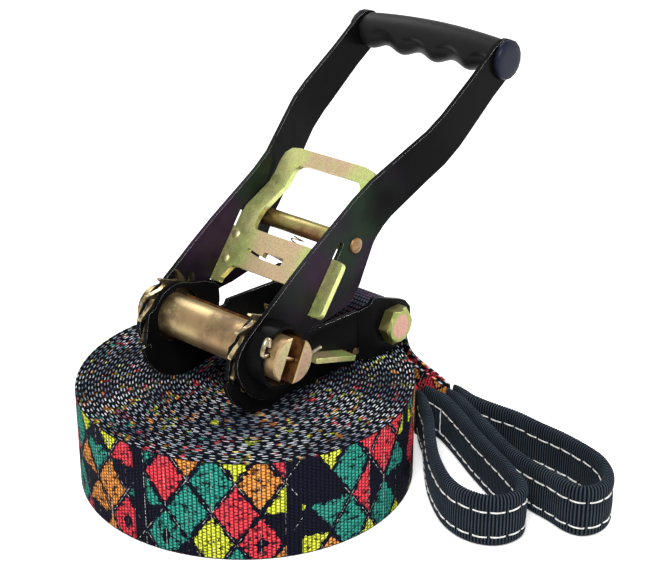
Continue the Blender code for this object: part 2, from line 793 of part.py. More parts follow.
# Spindle
def half_moon_ring(y, shrink, grow, sign, steps=12):
    """The section of one half-round bar of the spindle: a round back and a flat face."""
    normal = slot_tilt - math.pi / 2
    if sign < 0:
        normal += math.pi
    shift = half_moon_outer - half_moon_radius
    radius = half_moon_radius - shrink + grow
    half = math.acos((webbing_slot / 2 + shrink - grow - shift) / radius)
    centre = (shift * math.cos(normal), shift * math.sin(normal))
    return [(a, y, b) for a, b in arc(centre, radius, normal - half, normal + half, steps)]


def make_half_moon(name, sign):
    """One half-round bar of the spindle, with holes for the split pins."""
    chamfer = edge_break * 2
    levels = [(-half_moon_reach, chamfer), (chamfer - half_moon_reach, 0), (half_moon_far_reach - chamfer, 0),
              (half_moon_far_reach, chamfer)]
    rings = [half_moon_ring(y, shrink, 0, sign) for y, shrink in levels]
    made = loft(name, rings, bronze_zinc, spindle_pivot, 30)
    for side in (-1, 1):
        made_hole = make_pin_hole(name + ("_hole_near" if side < 0 else "_hole_far"), side)
        cutter(made, made_hole, "DIFFERENCE")
        made.modifiers[-1].solver = "EXACT"
    return made


def pin_axes(side):
    """The middle of a split pin, the way that its eye lies from there, and the way square to that."""
    normal = slot_tilt - math.pi / 2
    along = Vector((math.cos(normal), 0, math.sin(normal)))
    lift = Vector((-along.z, 0, along.x))
    level = cotter_inset - half_moon_reach if side < 0 else far_pin_level
    return Vector((0, level, 0)), along * side, lift


def make_pin_hole(name, side):
    """A round tool right through the spindle where a split pin goes."""
    middle, along, _ = pin_axes(side)
    reach = along * (half_moon_outer + cut_overrun)
    run = [middle - reach, middle + reach]
    return tube(name, run, cotter_wire + seat_gap, 12, spring_steel, spindle_pivot)


def make_cotter(name, side):
    """A split pin across the spindle: a long eye at one end, a bent leg or a stub at the other."""
    middle, outward, lift = pin_axes(side)
    centre = middle + outward * (half_moon_outer + cotter_stand_off) + lift * cotter_eye_rise
    path = [centre - outward * (math.cos(math.radians(a)) * cotter_eye_depth)
            + lift * (math.sin(math.radians(a)) * cotter_eye_height) for a in range(10, 291, 28)]
    path.append(middle + outward * (half_moon_outer + cotter_wire / 2))
    path.append(middle - outward * (half_moon_outer + cotter_wire))
    knee = middle - outward * (half_moon_outer + 2 * cotter_wire) + lift * (cotter_wire / 2)
    if side > 0:
        path.append(path[-1] - outward * cotter_stub)
        return tube(name, path, cotter_wire, 6, spring_steel, spindle_pivot)
    elbow = knee + (lift * 0.9 - outward * 0.4) * (cotter_leg * 0.45)
    path += [knee, elbow, elbow + (lift * 0.55 - outward * 0.85) * (cotter_leg * 0.55)]
    return tube(name, path, cotter_wire, 6, spring_steel, spindle_pivot)


def wheel_outline():
    """The hooked teeth of a ratchet wheel, as seen from the near side."""
    start = math.radians(-42.7)
    points = []
    for k in range(wheel_teeth):
        turn = start + math.tau * k / wheel_teeth
        tooth = math.tau / wheel_teeth
        steps = [(wheel_root_radius, 0), (wheel_root_radius, tooth_root_angle),
                 (wheel_tip_radius, tooth + tooth_lean),
                 (wheel_tip_radius, tooth + tooth_lean + tooth_tip_angle)]
        for radius, angle in steps:
            points.append((radius * math.cos(turn + angle), radius * math.sin(turn + angle)))
    return points


def make_wheel(name, side):
    """A ratchet wheel held on the two half-round bars."""
    holes = []
    for sign in (-1, 1):
        holes.append([(a, b) for a, _, b in half_moon_ring(0, 0, seat_gap, sign)])
    low, high = sorted((side * wheel_inner, side * (wheel_inner + plate_thickness)))
    made = plate(name, [wheel_outline()] + holes, low, high, "y", bronze_zinc, spindle_pivot)
    return made


def make_washer(name, side):
    """The black ring between the handle plate and the split pin, thick at the long near end."""
    middle, _, _ = pin_axes(side)
    pin_face = abs(middle.y) - cotter_wire - seat_gap
    low, high = sorted((side * (handle_outer + seat_gap), side * pin_face))
    profile = [(low, washer_radius), (high, washer_radius)]
    return turned_pipe(name, profile, spindle_bore, 20, black_steel, spindle_pivot)


# Handle
# Near the spindle the outline follows the cross bar's place and the eye's radius, above it the reach
handle_low_rear_shares = [
    (0.358, -0.647), (0.522, -0.926), (0.733, -1.195), (0.869, -1.083), (1.141, -0.661)]
handle_high_rear_shares = [
    (0.461, -0.071), (0.618, -0.064), (0.774, -0.062), (0.914, -0.056)]
handle_high_front_shares = [
    (0.984, 0.052), (0.876, 0.051), (0.769, 0.055), (0.627, 0.061), (0.476, 0.065)]
handle_low_front_shares = [
    (1.116, 0.561), (0.694, 0.648), (0.450, 0.670), (0.000, 0.670), (-0.092, 0.666), (-0.160, 0.622),
    (-0.218, 0.539), (-0.258, 0.413), (-0.282, 0.261)]
handle_round_shares = [0, 1, 2, 1.5, 2, 1, 0, 0, 0]


def grip_place():
    """The centre of the grip rod along the handle."""
    return (handle_reach, -handle_end_radius / 10)


def handle_outline():
    """The outline of a handle plate, from the left of the spindle round by its underside."""
    eye = (handle_eye_shift, -handle_eye_drop)
    head = arc(eye, handle_eye_radius, math.radians(168), math.radians(329), 12)
    rear = [(a * cross_bar_along, b * handle_eye_radius) for a, b in handle_low_rear_shares]
    rear += [(a * handle_reach, b * handle_reach) for a, b in handle_high_rear_shares]
    end = arc(grip_place(), handle_end_radius, math.radians(-88), math.radians(88), 9)
    front = [(a * handle_reach, b * handle_reach) for a, b in handle_high_front_shares]
    front += [(a * cross_bar_along, b * handle_eye_radius) for a, b in handle_low_front_shares]
    radii = [0] * len(head) + [handle_corner * a for a in handle_round_shares] + [0] * (len(end) + len(front))
    return filleted(head + rear + end + front, radii, 3)


def pawl_slot():
    """The slot in a handle plate in which the release pawl slides."""
    start = pawl_tip - 2 * seat_gap
    end = pawl_wing_end + pawl_travel + 2 * seat_gap
    half = pawl_thickness / 2 + seat_gap
    return slot_loop(start, end, half, (0, 0), pawl_angle - handle_angle, -pawl_offset)


def make_handle_plate(name, side):
    """A long handle plate that spreads outwards towards the grip."""
    holes = [circle((0, 0), spindle_bore, 24), pawl_slot(),
             circle((cross_bar_along, -cross_bar_below), cross_tenon_radius + seat_gap, 10),
             circle(grip_place(), grip_rod_radius + seat_gap, 12)]
    low, high = sorted((side * handle_inner, side * handle_outer))
    made = plate(name, [handle_outline()] + holes, low, high, "y", black_steel, handle_pivot)
    bend(made, joggle_knots(splay_start, splay_length, handle_splay), (0, side, 0))
    softened(made)
    return made


def grip_reach(angle, along):
    """How far the grip's skin is from its rod: a crowned back and finger grooves below."""
    facing = math.cos(angle - math.radians(25))
    crown = grip_crown * max(facing, 0) ** 1.5 * math.cos(math.pi / 2 * along) ** 0.8
    wave = (1 - math.cos(math.pi * (along + 1) * grip_grooves)) / 2
    fade = 1 if abs(along) < 0.99 else 0
    groove = groove_depth * max(-facing, 0) ** 0.8 * wave * fade
    return grip_radius + crown - groove


def make_grip():
    """The rubber grip between the handle plates."""
    half = grip_inner - seat_gap
    stations = list(np.linspace(-1, 1, 16))
    centre = grip_place()
    outer = []
    for along in stations:
        ring = []
        for k in range(16):
            angle = math.tau * k / 16
            radius = grip_reach(angle, along)
            x, z = centre[0] + radius * math.cos(angle), centre[1] + radius * math.sin(angle)
            ring.append((x, along * half, z))
        outer.append(ring)
    bore = [[(a, y, b) for a, b in circle(centre, grip_rod_radius + seat_gap, 16)] for y in (-half, half)]
    return pipe_loft("grip", outer, bore, grip_rubber, handle_pivot, 50)


def make_grip_rod():
    """The rod through the grip, both plates and into the caps."""
    reach = grip_outer + rod_end_in_cap
    edge = edge_break
    profile = [(-reach, grip_rod_radius - edge), (edge - reach, grip_rod_radius),
               (reach - edge, grip_rod_radius), (reach, grip_rod_radius - edge)]
    return turned("grip_rod", profile, 16, spring_steel, handle_pivot, grip_place())


def make_grip_cap(name, side):
    """A shallow domed cap on the end of the grip rod."""
    face = grip_outer + seat_gap
    bore = grip_rod_radius + seat_gap
    floor = grip_outer + rod_end_in_cap + seat_gap
    top = face + cap_height
    dome_shares = [(0, 0.98), (0.12, 1), (0.6, 1), (0.86, 0.94), (0.97, 0.80), (1, 0.55)]
    profile = [(floor, bore), (face, bore)]
    profile += [(face + (top - face) * a, cap_radius * b) for a, b in dome_shares]
    return turned(name, [(side * y, r) for y, r in profile], 16, cap_plastic, handle_pivot, grip_place())


def make_cross_bar():
    """The bar riveted between the handle plates above the pawl."""
    inner = handle_inner - seat_gap
    outer = handle_outer + seat_gap
    neck = inner - cross_bar_taper
    end = outer + rivet_head_height
    half = [(0, cross_bar_radius), (neck, cross_bar_radius),
            (inner - cross_bar_taper / 3, (cross_bar_radius * 2 + cross_tenon_radius) / 3),
            (inner, cross_tenon_radius + edge_break), (inner, cross_tenon_radius),
            (outer, cross_tenon_radius),
            (outer, rivet_head_radius), (outer + rivet_head_height / 2, rivet_head_radius * 0.92),
            (end, rivet_head_radius * 0.45)]
    profile = [(-y, r) for y, r in half[::-1]] + half[1:]
    place = (cross_bar_along, -cross_bar_below)
    return turned("cross_bar", profile, 12, bronze_zinc, handle_pivot, place)


# Release pawl
def pawl_outline():
    """The outline of the flat blank of the release pawl."""
    shoulder = pawl_half_width - edge_break
    half = [(pawl_body_start, pawl_neck_half - cross_bar_taper * 1.4),
            (pawl_tip + cross_bar_taper, pawl_neck_half),
            (pawl_tip, pawl_neck_half), (pawl_tip, pawl_wing_reach), (pawl_wing_end, pawl_wing_reach),
            (pawl_wing_end, shoulder), (pawl_end, shoulder)]
    radius_shares = [1.0, 0.5, 0.3, 1.0, 1.0, 0.3, 3.0]
    radii = [pawl_thickness * a for a in radius_shares]
    return filleted(mirrored(half), radii + radii[::-1], 3)


def pawl_window():
    """The large opening between the arms of the release pawl."""
    outline = [(pawl_window_start, -pawl_window_near), (pawl_window_end, -pawl_window_near),
               (pawl_window_end, pawl_window_far), (pawl_window_start, pawl_window_far)]
    corner = pawl_thickness
    return filleted(outline, [corner, corner * 2, corner * 2, corner], 3)


def tab_opening():
    """The hole left by the bent tab, which runs out into a slanted cut on its far side."""
    low, high = tab_slot_start, tab_slot_start + tab_slot_width
    end = (low + high) / 2
    outline = [(low, -tab_slot_half), (high, -tab_slot_half), (high, tab_slot_half),
               (low + tab_slit_width, tab_slot_half), (end + tab_slit_width, tab_slit_reach),
               (end, tab_slit_reach), (low, tab_slot_half)]
    corner = tab_slot_width / 6
    return filleted(outline, [corner, corner, corner, 0, 0, 0, 0], 1)


def make_pawl():
    """The sprung release pawl: a flat plate with wings, stepped arms and a finger bar."""
    low = -pawl_offset - pawl_thickness / 2
    loops = [pawl_outline(), pawl_window(), tab_opening()]
    made = plate("pawl_plate", loops, low, low + pawl_thickness, "z", yellow_zinc, pawl_guide)
    bend(made, joggle_knots(pawl_step_start, pawl_step_length, pawl_step), (0, 0, -1))
    start = tab_slot_start + tab_slot_width
    profile = [(start, -tab_half_width), (start + tab_thickness, -tab_half_width),
               (start + tab_thickness, tab_half_width), (start, tab_half_width)]
    levels = [low + pawl_thickness / 2, low - tab_reach * 0.8, low - tab_reach]
    narrow_shares = [1, 1, 0.6]
    rings = []
    for z, share in zip(levels, narrow_shares):
        rings.append([(a, b * share, z) for a, b in profile])
    tab = loft("pawl_tab_tool", rings, yellow_zinc, pawl_guide)
    cutter(made, tab, "UNION")
    made.modifiers[-1].solver = "EXACT"
    softened(made)
    return made


def make_pawl_spring():
    """The spring between the pawl's tab and the cross bar."""
    tilt = handle_angle - pawl_angle
    bar = Vector((cross_bar_along, -cross_bar_below))
    along = bar.x * math.cos(tilt) - bar.y * math.sin(tilt)
    height = bar.x * math.sin(tilt) + bar.y * math.cos(tilt)
    start = tab_slot_start + tab_slot_width + tab_thickness + seat_gap
    end = along - cross_bar_radius - seat_gap
    return make_spring("pawl_spring", start, end, pawl_spring_turns, pawl_spring_wire, height, pawl_guide)


def make_ratchet():
    """All pieces of the ratchet, root first."""
    for name, side in (("near", -1), ("far", 1)):
        make_frame_plate("frame_plate_" + name, side)
        make_handle_plate("handle_plate_" + name, side)
        make_wheel("ratchet_wheel_" + name, side)
        make_washer("spindle_washer_" + name, side)
        make_cotter("cotter_" + name, side)
        make_grip_cap("grip_cap_" + name, side)
    make_half_moon("half_moon_front", -1)
    make_half_moon("half_moon_rear", 1)
    make_bolt()
    make_nut()
    make_sleeve()
    make_stop_bar()
    make_lock_plate()
    make_lock_spring()
    make_grip()
    make_grip_rod()
    make_cross_bar()
    make_pawl()
    make_pawl_spring()


make_line_roll()
make_line_tail()
make_eye("line_eye", line_eye_plan_shares, 2)
make_strap_loop()
make_eye("strap_eye", strap_eye_plan_shares, 2)
make_ratchet()
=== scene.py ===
"""Looks of the slackline set: finishes, the full webbing coil, sewn sleeves and smooth metal."""
import math
import random
from functools import partialmethod

import bmesh
import bpy
import numpy as np
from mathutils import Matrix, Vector


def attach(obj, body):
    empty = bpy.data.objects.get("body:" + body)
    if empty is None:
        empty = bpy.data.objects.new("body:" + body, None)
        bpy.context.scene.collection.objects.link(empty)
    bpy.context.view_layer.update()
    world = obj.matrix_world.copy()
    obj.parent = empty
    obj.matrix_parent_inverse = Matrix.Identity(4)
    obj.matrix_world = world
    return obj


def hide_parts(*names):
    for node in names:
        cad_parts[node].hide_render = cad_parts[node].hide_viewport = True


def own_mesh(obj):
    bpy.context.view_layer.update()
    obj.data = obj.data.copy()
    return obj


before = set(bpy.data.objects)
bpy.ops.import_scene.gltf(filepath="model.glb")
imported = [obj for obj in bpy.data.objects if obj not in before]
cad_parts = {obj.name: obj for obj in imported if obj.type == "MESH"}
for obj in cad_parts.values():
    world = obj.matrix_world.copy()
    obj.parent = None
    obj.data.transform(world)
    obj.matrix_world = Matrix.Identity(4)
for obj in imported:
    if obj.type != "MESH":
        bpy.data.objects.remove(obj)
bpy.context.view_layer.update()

random.seed(7)

# Shared with the solids: metres and radians
webbing_width = 0.05
roll_radius = 0.0832
roll_hole_radius = 0.0085
eye_height = 0.0262
eye_thickness = 0.0056
strap_layer = 0.0024
ratchet_y = -0.0024
spindle_x, spindle_z = -0.023, 0.0823
spindle_place = Vector((spindle_x, ratchet_y, spindle_z))
bolt_x, bolt_z = 0.0635, 0.0658
handle_angle = math.radians(34)
pawl_angle = math.radians(53)
slot_tilt = math.radians(63.4)
pawl_middle = (0.02, -0.0024, 0.125)
half_moon_outer = 0.0128

# Camera, measured from the photograph
camera_place = (-0.4613, -0.4607, 0.384)
camera_look = (0.6811, 0.6089, -0.4067)
camera_lens_mm = 84.85
camera_sensor_mm = 36.0


def linked(name, data):
    """An object of the scene that holds a mesh, a lamp or the camera."""
    piece = bpy.data.objects.new(name, data)
    bpy.context.collection.objects.link(piece)
    return piece


def make_camera():
    """The photograph's view."""
    data = bpy.data.cameras.new("camera")
    data.lens = camera_lens_mm
    data.sensor_width = camera_sensor_mm
    data.sensor_fit = "HORIZONTAL"
    data.clip_start = 0.01
    camera = linked("camera", data)
    camera.location = camera_place
    camera.rotation_euler = Vector(camera_look).to_track_quat("-Z", "Y").to_euler()
    bpy.context.scene.camera = camera


make_camera()
bpy.context.scene.view_settings.view_transform = "Standard"


# Shader graphs written as sums
def plug(tree, socket, value):
    """Give a socket a field, a number or a tuple."""
    if isinstance(value, Field):
        tree.links.new(value.socket, socket)
    else:
        socket.default_value = value


def rgba(colour):
    """A field as it is, or a tuple with its opacity added."""
    return colour if isinstance(colour, Field) else (*colour, 1)


def new_field(tree, kind, inputs, output=0, **settings):
    """An output of a new node, whose inputs are given by name or number."""
    node = tree.nodes.new("ShaderNode" + kind)
    for name, value in settings.items():
        setattr(node, name, value)
    for key, value in inputs.items():
        plug(tree, node.inputs[key], value)
    return Field(tree, node.outputs[output])


class Field:
    """A number or colour that varies over a surface, as a socket of a node tree."""

    def __init__(self, tree, socket):
        self.tree = tree
        self.socket = socket

    def math(self, operation, *values):
        """A math node whose first input is this field."""
        inputs = dict(enumerate((self, *values)))
        return new_field(self.tree, "Math", inputs, operation=operation)

    # What one math node does, as operators and words
    __add__ = partialmethod(math, "ADD")
    __sub__ = partialmethod(math, "SUBTRACT")
    __mul__ = partialmethod(math, "MULTIPLY")
    __truediv__ = partialmethod(math, "DIVIDE")
    floor = partialmethod(math, "FLOOR")
    fract = partialmethod(math, "FRACT")
    sine = partialmethod(math, "SINE")
    size = partialmethod(math, "ABSOLUTE")
    above = partialmethod(math, "GREATER_THAN")
    below = partialmethod(math, "LESS_THAN")
    top = partialmethod(math, "MAXIMUM")

    def zigzag(self):
        """0 at the middle of each whole step and 1 at its ends."""
        return (self.fract() - 0.5).size() * 2

    def left_over(self):
        """What is left of 1."""
        return self * -1.0 + 1.0

    def ramp(self, low, high, start=0.0, end=1.0):
        """Map the span low to high on start to end, smoothly and clamped."""
        inputs = dict(enumerate((self, low, high, start, end)))
        return new_field(self.tree, "MapRange", inputs, interpolation_type="SMOOTHSTEP")

    def mix(self, first, second):
        """The colour first where this field is 0 and second where it is 1."""
        inputs = {0: self, 6: rgba(first), 7: rgba(second)}
        return new_field(self.tree, "Mix", inputs, 2, data_type="RGBA")

    def pick(self, colours):
        """One of several colours, each on an equal share of 0 to 1."""
        node = self.tree.nodes.new("ShaderNodeValToRGB")
        node.color_ramp.interpolation = "CONSTANT"
        stops = node.color_ramp.elements
        for index, colour in enumerate(colours):
            place = index / len(colours)
            stop = stops[index] if index < 2 else stops.new(place)
            stop.position = place
            stop.color = rgba(colour)
        plug(self.tree, node.inputs[0], self)
        return Field(self.tree, node.outputs[0])


class Surface:
    """A Principled material being built."""

    def __init__(self, name):
        self.material = bpy.data.materials.new(name)
        self.material.use_nodes = True
        self.tree = self.material.node_tree
        self.shader = self.tree.nodes["Principled BSDF"]

    def place(self):
        """Object coordinates in metres."""
        return new_field(self.tree, "TexCoord", {}, "Object")

    def stretched(self, scales):
        """Object coordinates stretched along the axes."""
        return new_field(self.tree, "Mapping", {"Vector": self.place(), "Scale": scales})

    def attribute(self, name):
        """A number stored on the mesh's points."""
        return new_field(self.tree, "Attribute", {}, "Fac", attribute_name=name)

    def joined(self, x, y, z=0.0):
        """A vector from three fields or numbers."""
        return new_field(self.tree, "CombineXYZ", {"X": x, "Y": y, "Z": z})

    def noise(self, scale, detail=2.0, at=None, roughness=0.5):
        """Soft noise from 0 to 1."""
        inputs = {"Vector": at or self.place(), "Scale": scale, "Detail": detail,
                  "Roughness": roughness}
        return new_field(self.tree, "TexNoise", inputs, "Fac")

    def distance(self, at, point):
        """How far a vector is from a point."""
        return new_field(self.tree, "VectorMath", {0: at, 1: point}, "Value", operation="DISTANCE")

    def facing(self, axis):
        """How nearly the surface faces along an axis, either way, from 0 to 1."""
        inputs = {0: new_field(self.tree, "TexCoord", {}, "Normal"), 1: axis}
        along = new_field(self.tree, "VectorMath", inputs, "Value", operation="DOT_PRODUCT")
        return along.size()

    def chance(self, at):
        """An even random number for each whole vector."""
        return new_field(self.tree, "TexWhiteNoise", {"Vector": at}, "Value", noise_dimensions="3D")

    def bump(self, height, depth, strength):
        """Raise the surface by height times depth in metres."""
        inputs = {"Strength": strength, "Distance": depth, "Height": height}
        plug(self.tree, self.shader.inputs["Normal"], new_field(self.tree, "Bump", inputs))

    def finish(self, colour, roughness, metallic=0.0, ior=None):
        """Set the shader's constants and fields; a low ior dulls the surface."""
        plug(self.tree, self.shader.inputs["Base Color"], rgba(colour))
        plug(self.tree, self.shader.inputs["Roughness"], roughness)
        self.shader.inputs["Metallic"].default_value = metallic
        if ior:
            self.shader.inputs["IOR"].default_value = ior
        return self.material


# Finishes. How far from the pawl's middle the painted reflection on the handle plates starts to
# fade, and where it ends
reflection_near, reflection_far = 0.036, 0.064


def black_paint(name, reflects_pawl=False):
    """Semi-gloss black paint on stamped steel; for the handle it adds a painted reflection of the
    zinc pawl: violet and green clouds near the pawl.
    """
    black, soft_black = (0.0036, 0.0036, 0.0039), (0.0048, 0.0045, 0.005)
    violet, green = (0.028, 0.014, 0.032), (0.013, 0.025, 0.014)
    s = Surface(name)
    cloud = s.noise(35, 3)
    tone = cloud.mix(black, soft_black)
    if reflects_pawl:
        # Painted reflection: violet and green clouds stand for the coloured zinc mirrored in the
        # plates near the pawl
        painted_reflection = s.noise(18, 2).ramp(0.42, 0.58).mix(violet, green)
        near_pawl = s.distance(s.place(), pawl_middle).ramp(reflection_near, reflection_far, 1, 0)
        tone = (near_pawl * s.noise(30, 2).ramp(0.3, 0.55)).mix(tone, painted_reflection)
    s.bump(s.noise(900, 3), 0.00004, 0.5)
    return s.finish(tone, cloud.ramp(0.3, 0.7, 0.24, 0.38), ior=1.09)


def rubbed_and_highlit_edge():
    """The bright bevels of a painted plate: bare steel where the paint is rubbed, and a painted
    highlight where the bevels catch the lamps.
    """
    bare_steel_and_highlight, thin_paint = (0.6, 0.6, 0.58), (0.06, 0.06, 0.063)
    s = Surface("rubbed_and_highlit_edge")
    return s.finish(s.noise(160, 3).ramp(0.54, 0.72).mix(bare_steel_and_highlight, thin_paint), 0.34, 0.6)


# How far from the ratchet's middle plane the pawl turns from pink to lime
lime_from, lime_full = 0.011, 0.019


def yellow_zinc(name, lime_sides=False):
    """Yellow passivated zinc with green and pink clouds and a fine grain."""
    straw, pink, green = (0.72, 0.68, 0.27), (0.76, 0.5, 0.38), (0.55, 0.68, 0.22)
    middle_pink, side_lime, grain = (0.74, 0.47, 0.36), (0.66, 0.76, 0.26), (0.2, 0.18, 0.08)
    s = Surface(name)
    cloud = s.noise(42, 3, roughness=0.6).ramp(0.36, 0.64)
    green_cloud = s.noise(75, 2).ramp(0.45, 0.66)
    tone = green_cloud.mix(cloud.mix(straw, pink), green)
    if lime_sides:
        off_middle = s.distance(s.stretched((0.0, 1.0, 0.0)), (0.0, ratchet_y, 0.0))
        side = off_middle.ramp(lime_from, lime_full)
        tone = (side * -0.6 + 0.6).mix(tone, middle_pink)
        tone = (side * 0.7).mix(tone, side_lime)
    tone = (s.noise(1500, 2).ramp(0.35, 0.7) * 0.35).mix(tone, grain)
    s.bump(s.noise(1200, 3), 0.00006, 0.6)
    return s.finish(tone, s.noise(300, 2).ramp(0.3, 0.7, 0.34, 0.48), 0.85)


smudge_brown = (0.085, 0.055, 0.03)


def smudges(s):
    """Smudges left by the webbing, from 0 to 1."""
    return s.noise(30, 7, roughness=0.72).ramp(0.44, 0.66)


def brushed(s):
    """Fine lines brushed round the spindle."""
    s.bump(s.noise(1000, 2, s.stretched((1.0, 0.03, 1.0))), 0.00006, 0.7)


def bronze_zinc():
    """Champagne bronze zinc, brushed round and smudged brown by the webbing."""
    olive, copper, grain = (0.42, 0.36, 0.13), (0.36, 0.19, 0.095), (0.13, 0.09, 0.045)
    s = Surface("bronze_zinc")
    smudge = smudges(s)
    tone = s.noise(60, 2).ramp(0.38, 0.6).mix(olive, copper)
    tone = (smudge * 0.72).mix(tone, smudge_brown)
    tone = (s.noise(1400, 2).ramp(0.4, 0.7) * 0.3).mix(tone, grain)
    brushed(s)
    return s.finish(tone, smudge.ramp(0, 1, 0.34, 0.55), 0.9)


# How far out the bolt head's pink middle ends and its lime rim is full, and how ragged that is
pink_end, rim_full, rim_ragged = 0.0052, 0.0068, 0.004


def bolt_zinc():
    """The bolt's head: a pink middle and a lime rim."""
    pink, lime_rim, grain = (0.56, 0.29, 0.24), (0.3, 0.34, 0.1), (0.22, 0.2, 0.08)
    side_olive = (0.17, 0.16, 0.055)
    s = Surface("bolt_zinc")
    out = s.distance(s.stretched((1.0, 0.0, 1.0)), (bolt_x, 0.0, bolt_z))
    ragged = out + (s.noise(260, 3) - 0.5) * rim_ragged
    tone = ragged.ramp(pink_end, rim_full).mix(pink, lime_rim)
    tone = (s.noise(1300, 3).ramp(0.42, 0.66) * 0.5).mix(tone, grain)
    tone = s.facing((0.0, 1.0, 0.0)).ramp(0.55, 0.85).mix(side_olive, tone)
    s.bump(s.noise(700, 3), 0.0001, 0.7)
    return s.finish(tone, 0.44, 0.85)


# Dark brown patches towards the spindle's far end: their place across, how far they stay full and
# where they end
far_dark_place, far_dark_full, far_dark_end = 0.03, 0.004, 0.03
# How far inside the skin the slot's walls take their own colour
slot_wall_depth = 0.0007


def half_moon_zinc():
    """The slotted end of the spindle: champagne skin, pinkish end faces and orange slot walls."""
    champagne, copper, far_dark_brown = (0.44, 0.34, 0.16), (0.37, 0.245, 0.125), (0.055, 0.038, 0.022)
    end_straw, end_pink, end_grain = (0.6, 0.52, 0.27), (0.6, 0.39, 0.27), (0.26, 0.19, 0.1)
    wall_orange, wall_brown = (0.4, 0.17, 0.055), (0.2, 0.085, 0.03)
    s = Surface("half_moon_zinc")
    smudge = smudges(s)
    skin_tone = s.noise(40, 2).ramp(0.35, 0.65).mix(champagne, copper)
    skin_tone = (smudge * 0.72).mix(skin_tone, smudge_brown)
    # Darker brown in patches towards the spindle's far end
    from_far_end = s.distance(s.stretched((0.0, 1.0, 0.0)), (0.0, far_dark_place, 0.0))
    far_darkening = from_far_end.ramp(far_dark_full, far_dark_end, 1, 0)
    far_darkening = far_darkening * s.noise(150, 5, roughness=0.7).ramp(0.34, 0.56)
    skin_tone = (far_darkening * 0.85).mix(skin_tone, far_dark_brown)
    end_tone = s.noise(110, 2).ramp(0.38, 0.6).mix(end_straw, end_pink)
    end_tone = (s.noise(1100, 3).ramp(0.42, 0.66) * 0.4).mix(end_tone, end_grain)
    wall_tone = s.noise(200, 2).ramp(0.4, 0.6).mix(wall_orange, wall_brown)
    tone = s.facing((0.0, 1.0, 0.0)).ramp(0.8, 0.9).mix(skin_tone, end_tone)
    out = s.distance(s.stretched((1.0, 0.0, 1.0)), (spindle_x, 0.0, spindle_z))
    inside = out.below(half_moon_outer - slot_wall_depth)
    across_slot = s.facing((math.sin(slot_tilt), 0.0, -math.cos(slot_tilt))).ramp(0.98, 0.99)
    tone = (across_slot * inside).mix(tone, wall_tone)
    brushed(s)
    return s.finish(tone, smudge.ramp(0, 1, 0.4, 0.56), 0.9)


def gold_edge():
    """Lighter passivated zinc on small toothed pieces."""
    pale_gold, dark_patch = (0.62, 0.5, 0.26), (0.1, 0.07, 0.036)
    s = Surface("gold_edge")
    tone = s.noise(190, 3).ramp(0.42, 0.56).mix(pale_gold, dark_patch)
    s.bump(s.noise(1200, 3), 0.00005, 0.6)
    return s.finish(tone, 0.36, 0.9)


def shaded_wheel_flats():
    """Painted shade on the broad flats of the zinc toothed wheels, which sit between the plates:
    near black with lighter patches.
    """
    flat_shade_black, lighter_patch = (0.03, 0.024, 0.016), (0.1, 0.075, 0.042)
    s = Surface("shaded_wheel_flats")
    tone = s.noise(120, 3).ramp(0.38, 0.62).mix(flat_shade_black, lighter_patch)
    s.bump(s.noise(1200, 3), 0.00005, 0.6)
    return s.finish(tone, 0.42, 0.7)


def bright_steel():
    """Bright drawn wire."""
    bright, dull = (0.44, 0.4, 0.31), (0.24, 0.19, 0.11)
    s = Surface("bright_steel")
    tone = s.noise(150, 3).ramp(0.4, 0.6).mix(bright, dull)
    s.bump(s.noise(900, 2), 0.00004, 0.5)
    return s.finish(tone, 0.28, 1.0)


def grip_rubber():
    """Satin moulded rubber."""
    dark, pale = (0.0085, 0.0085, 0.0088), (0.0135, 0.013, 0.0135)
    s = Surface("grip_rubber")
    cloud = s.noise(50, 3)
    s.bump(s.noise(1400, 3), 0.00008, 0.7)
    return s.finish(cloud.mix(dark, pale), cloud.ramp(0.3, 0.7, 0.36, 0.48), ior=1.2)


def cap_plastic():
    """Blue-black moulded plastic."""
    dark_blue, pale_blue = (0.006, 0.007, 0.017), (0.011, 0.013, 0.028)
    s = Surface("cap_plastic")
    s.bump(s.noise(1600, 2), 0.00005, 0.6)
    return s.finish(s.noise(120, 3).mix(dark_blue, pale_blue), 0.36, ior=1.2)


# Webbing: its points carry run, in metres along it, rise, in metres from its low edge, and side,
# from -1 to 1 through it. The sizes below are in metres
weave_run = 0.00203
weave_rise = 0.00172
print_pitch = 0.0215
print_row = 0.031
plain_band_pitch = 0.071
plain_band_share = 0.1
dash_pitch = 0.0057
spot_pitch = 0.004
# How far from its edges a band's print gives way to the woven edge, from start to full
edge_from, edge_full = 0.0009, 0.0005
# How far below that height the painted shade on the strap fades in
shade_fade_length = 0.014
navy = (0.01, 0.01, 0.026)
ink_black = (0.006, 0.007, 0.013)
weave_gap_shade = (0.0025, 0.0025, 0.005)
thin_line_white = (0.6, 0.6, 0.57)
red, orange = (1.0, 0.07, 0.095), (1.0, 0.37, 0.075)
teal, lime = (0.04, 0.38, 0.29), (0.88, 0.96, 0.065)
print_colours = [red, teal, orange, lime, red, teal, lime, orange]
strap_colours = [orange, red, orange, red, teal]
# A lozenge's luck from 0 to 1: missing, then whole, its onward half, its upper half, its lower half
missing_below, whole_below, onward_below, upper_below = 0.04, 0.52, 0.7, 0.84
# Reach of a lozenge's ink and of its open heart, how many have one, and how far halves overlap
ink_reach, heart_reach, heart_share, half_overlap = 0.86, 0.3, 0.1, 0.01
# Where the rows start, half an outline's width, where a ruled line starts, and how many are missing
row_shift, outline_half, rule_from, rule_missing = 0.23, 0.022, 0.484, 0.45


def weave_height(run, rise):
    """Cross ribs broken by the warp threads, from 0 to 1."""
    cord = (run / weave_run).zigzag().ramp(0.45, 1, 1, 0)
    notch = ((run / weave_run).floor() * 0.5 + rise / weave_rise).zigzag().ramp(0.5, 1.0, 1, 0)
    return cord * (notch * 0.85 + 0.15)


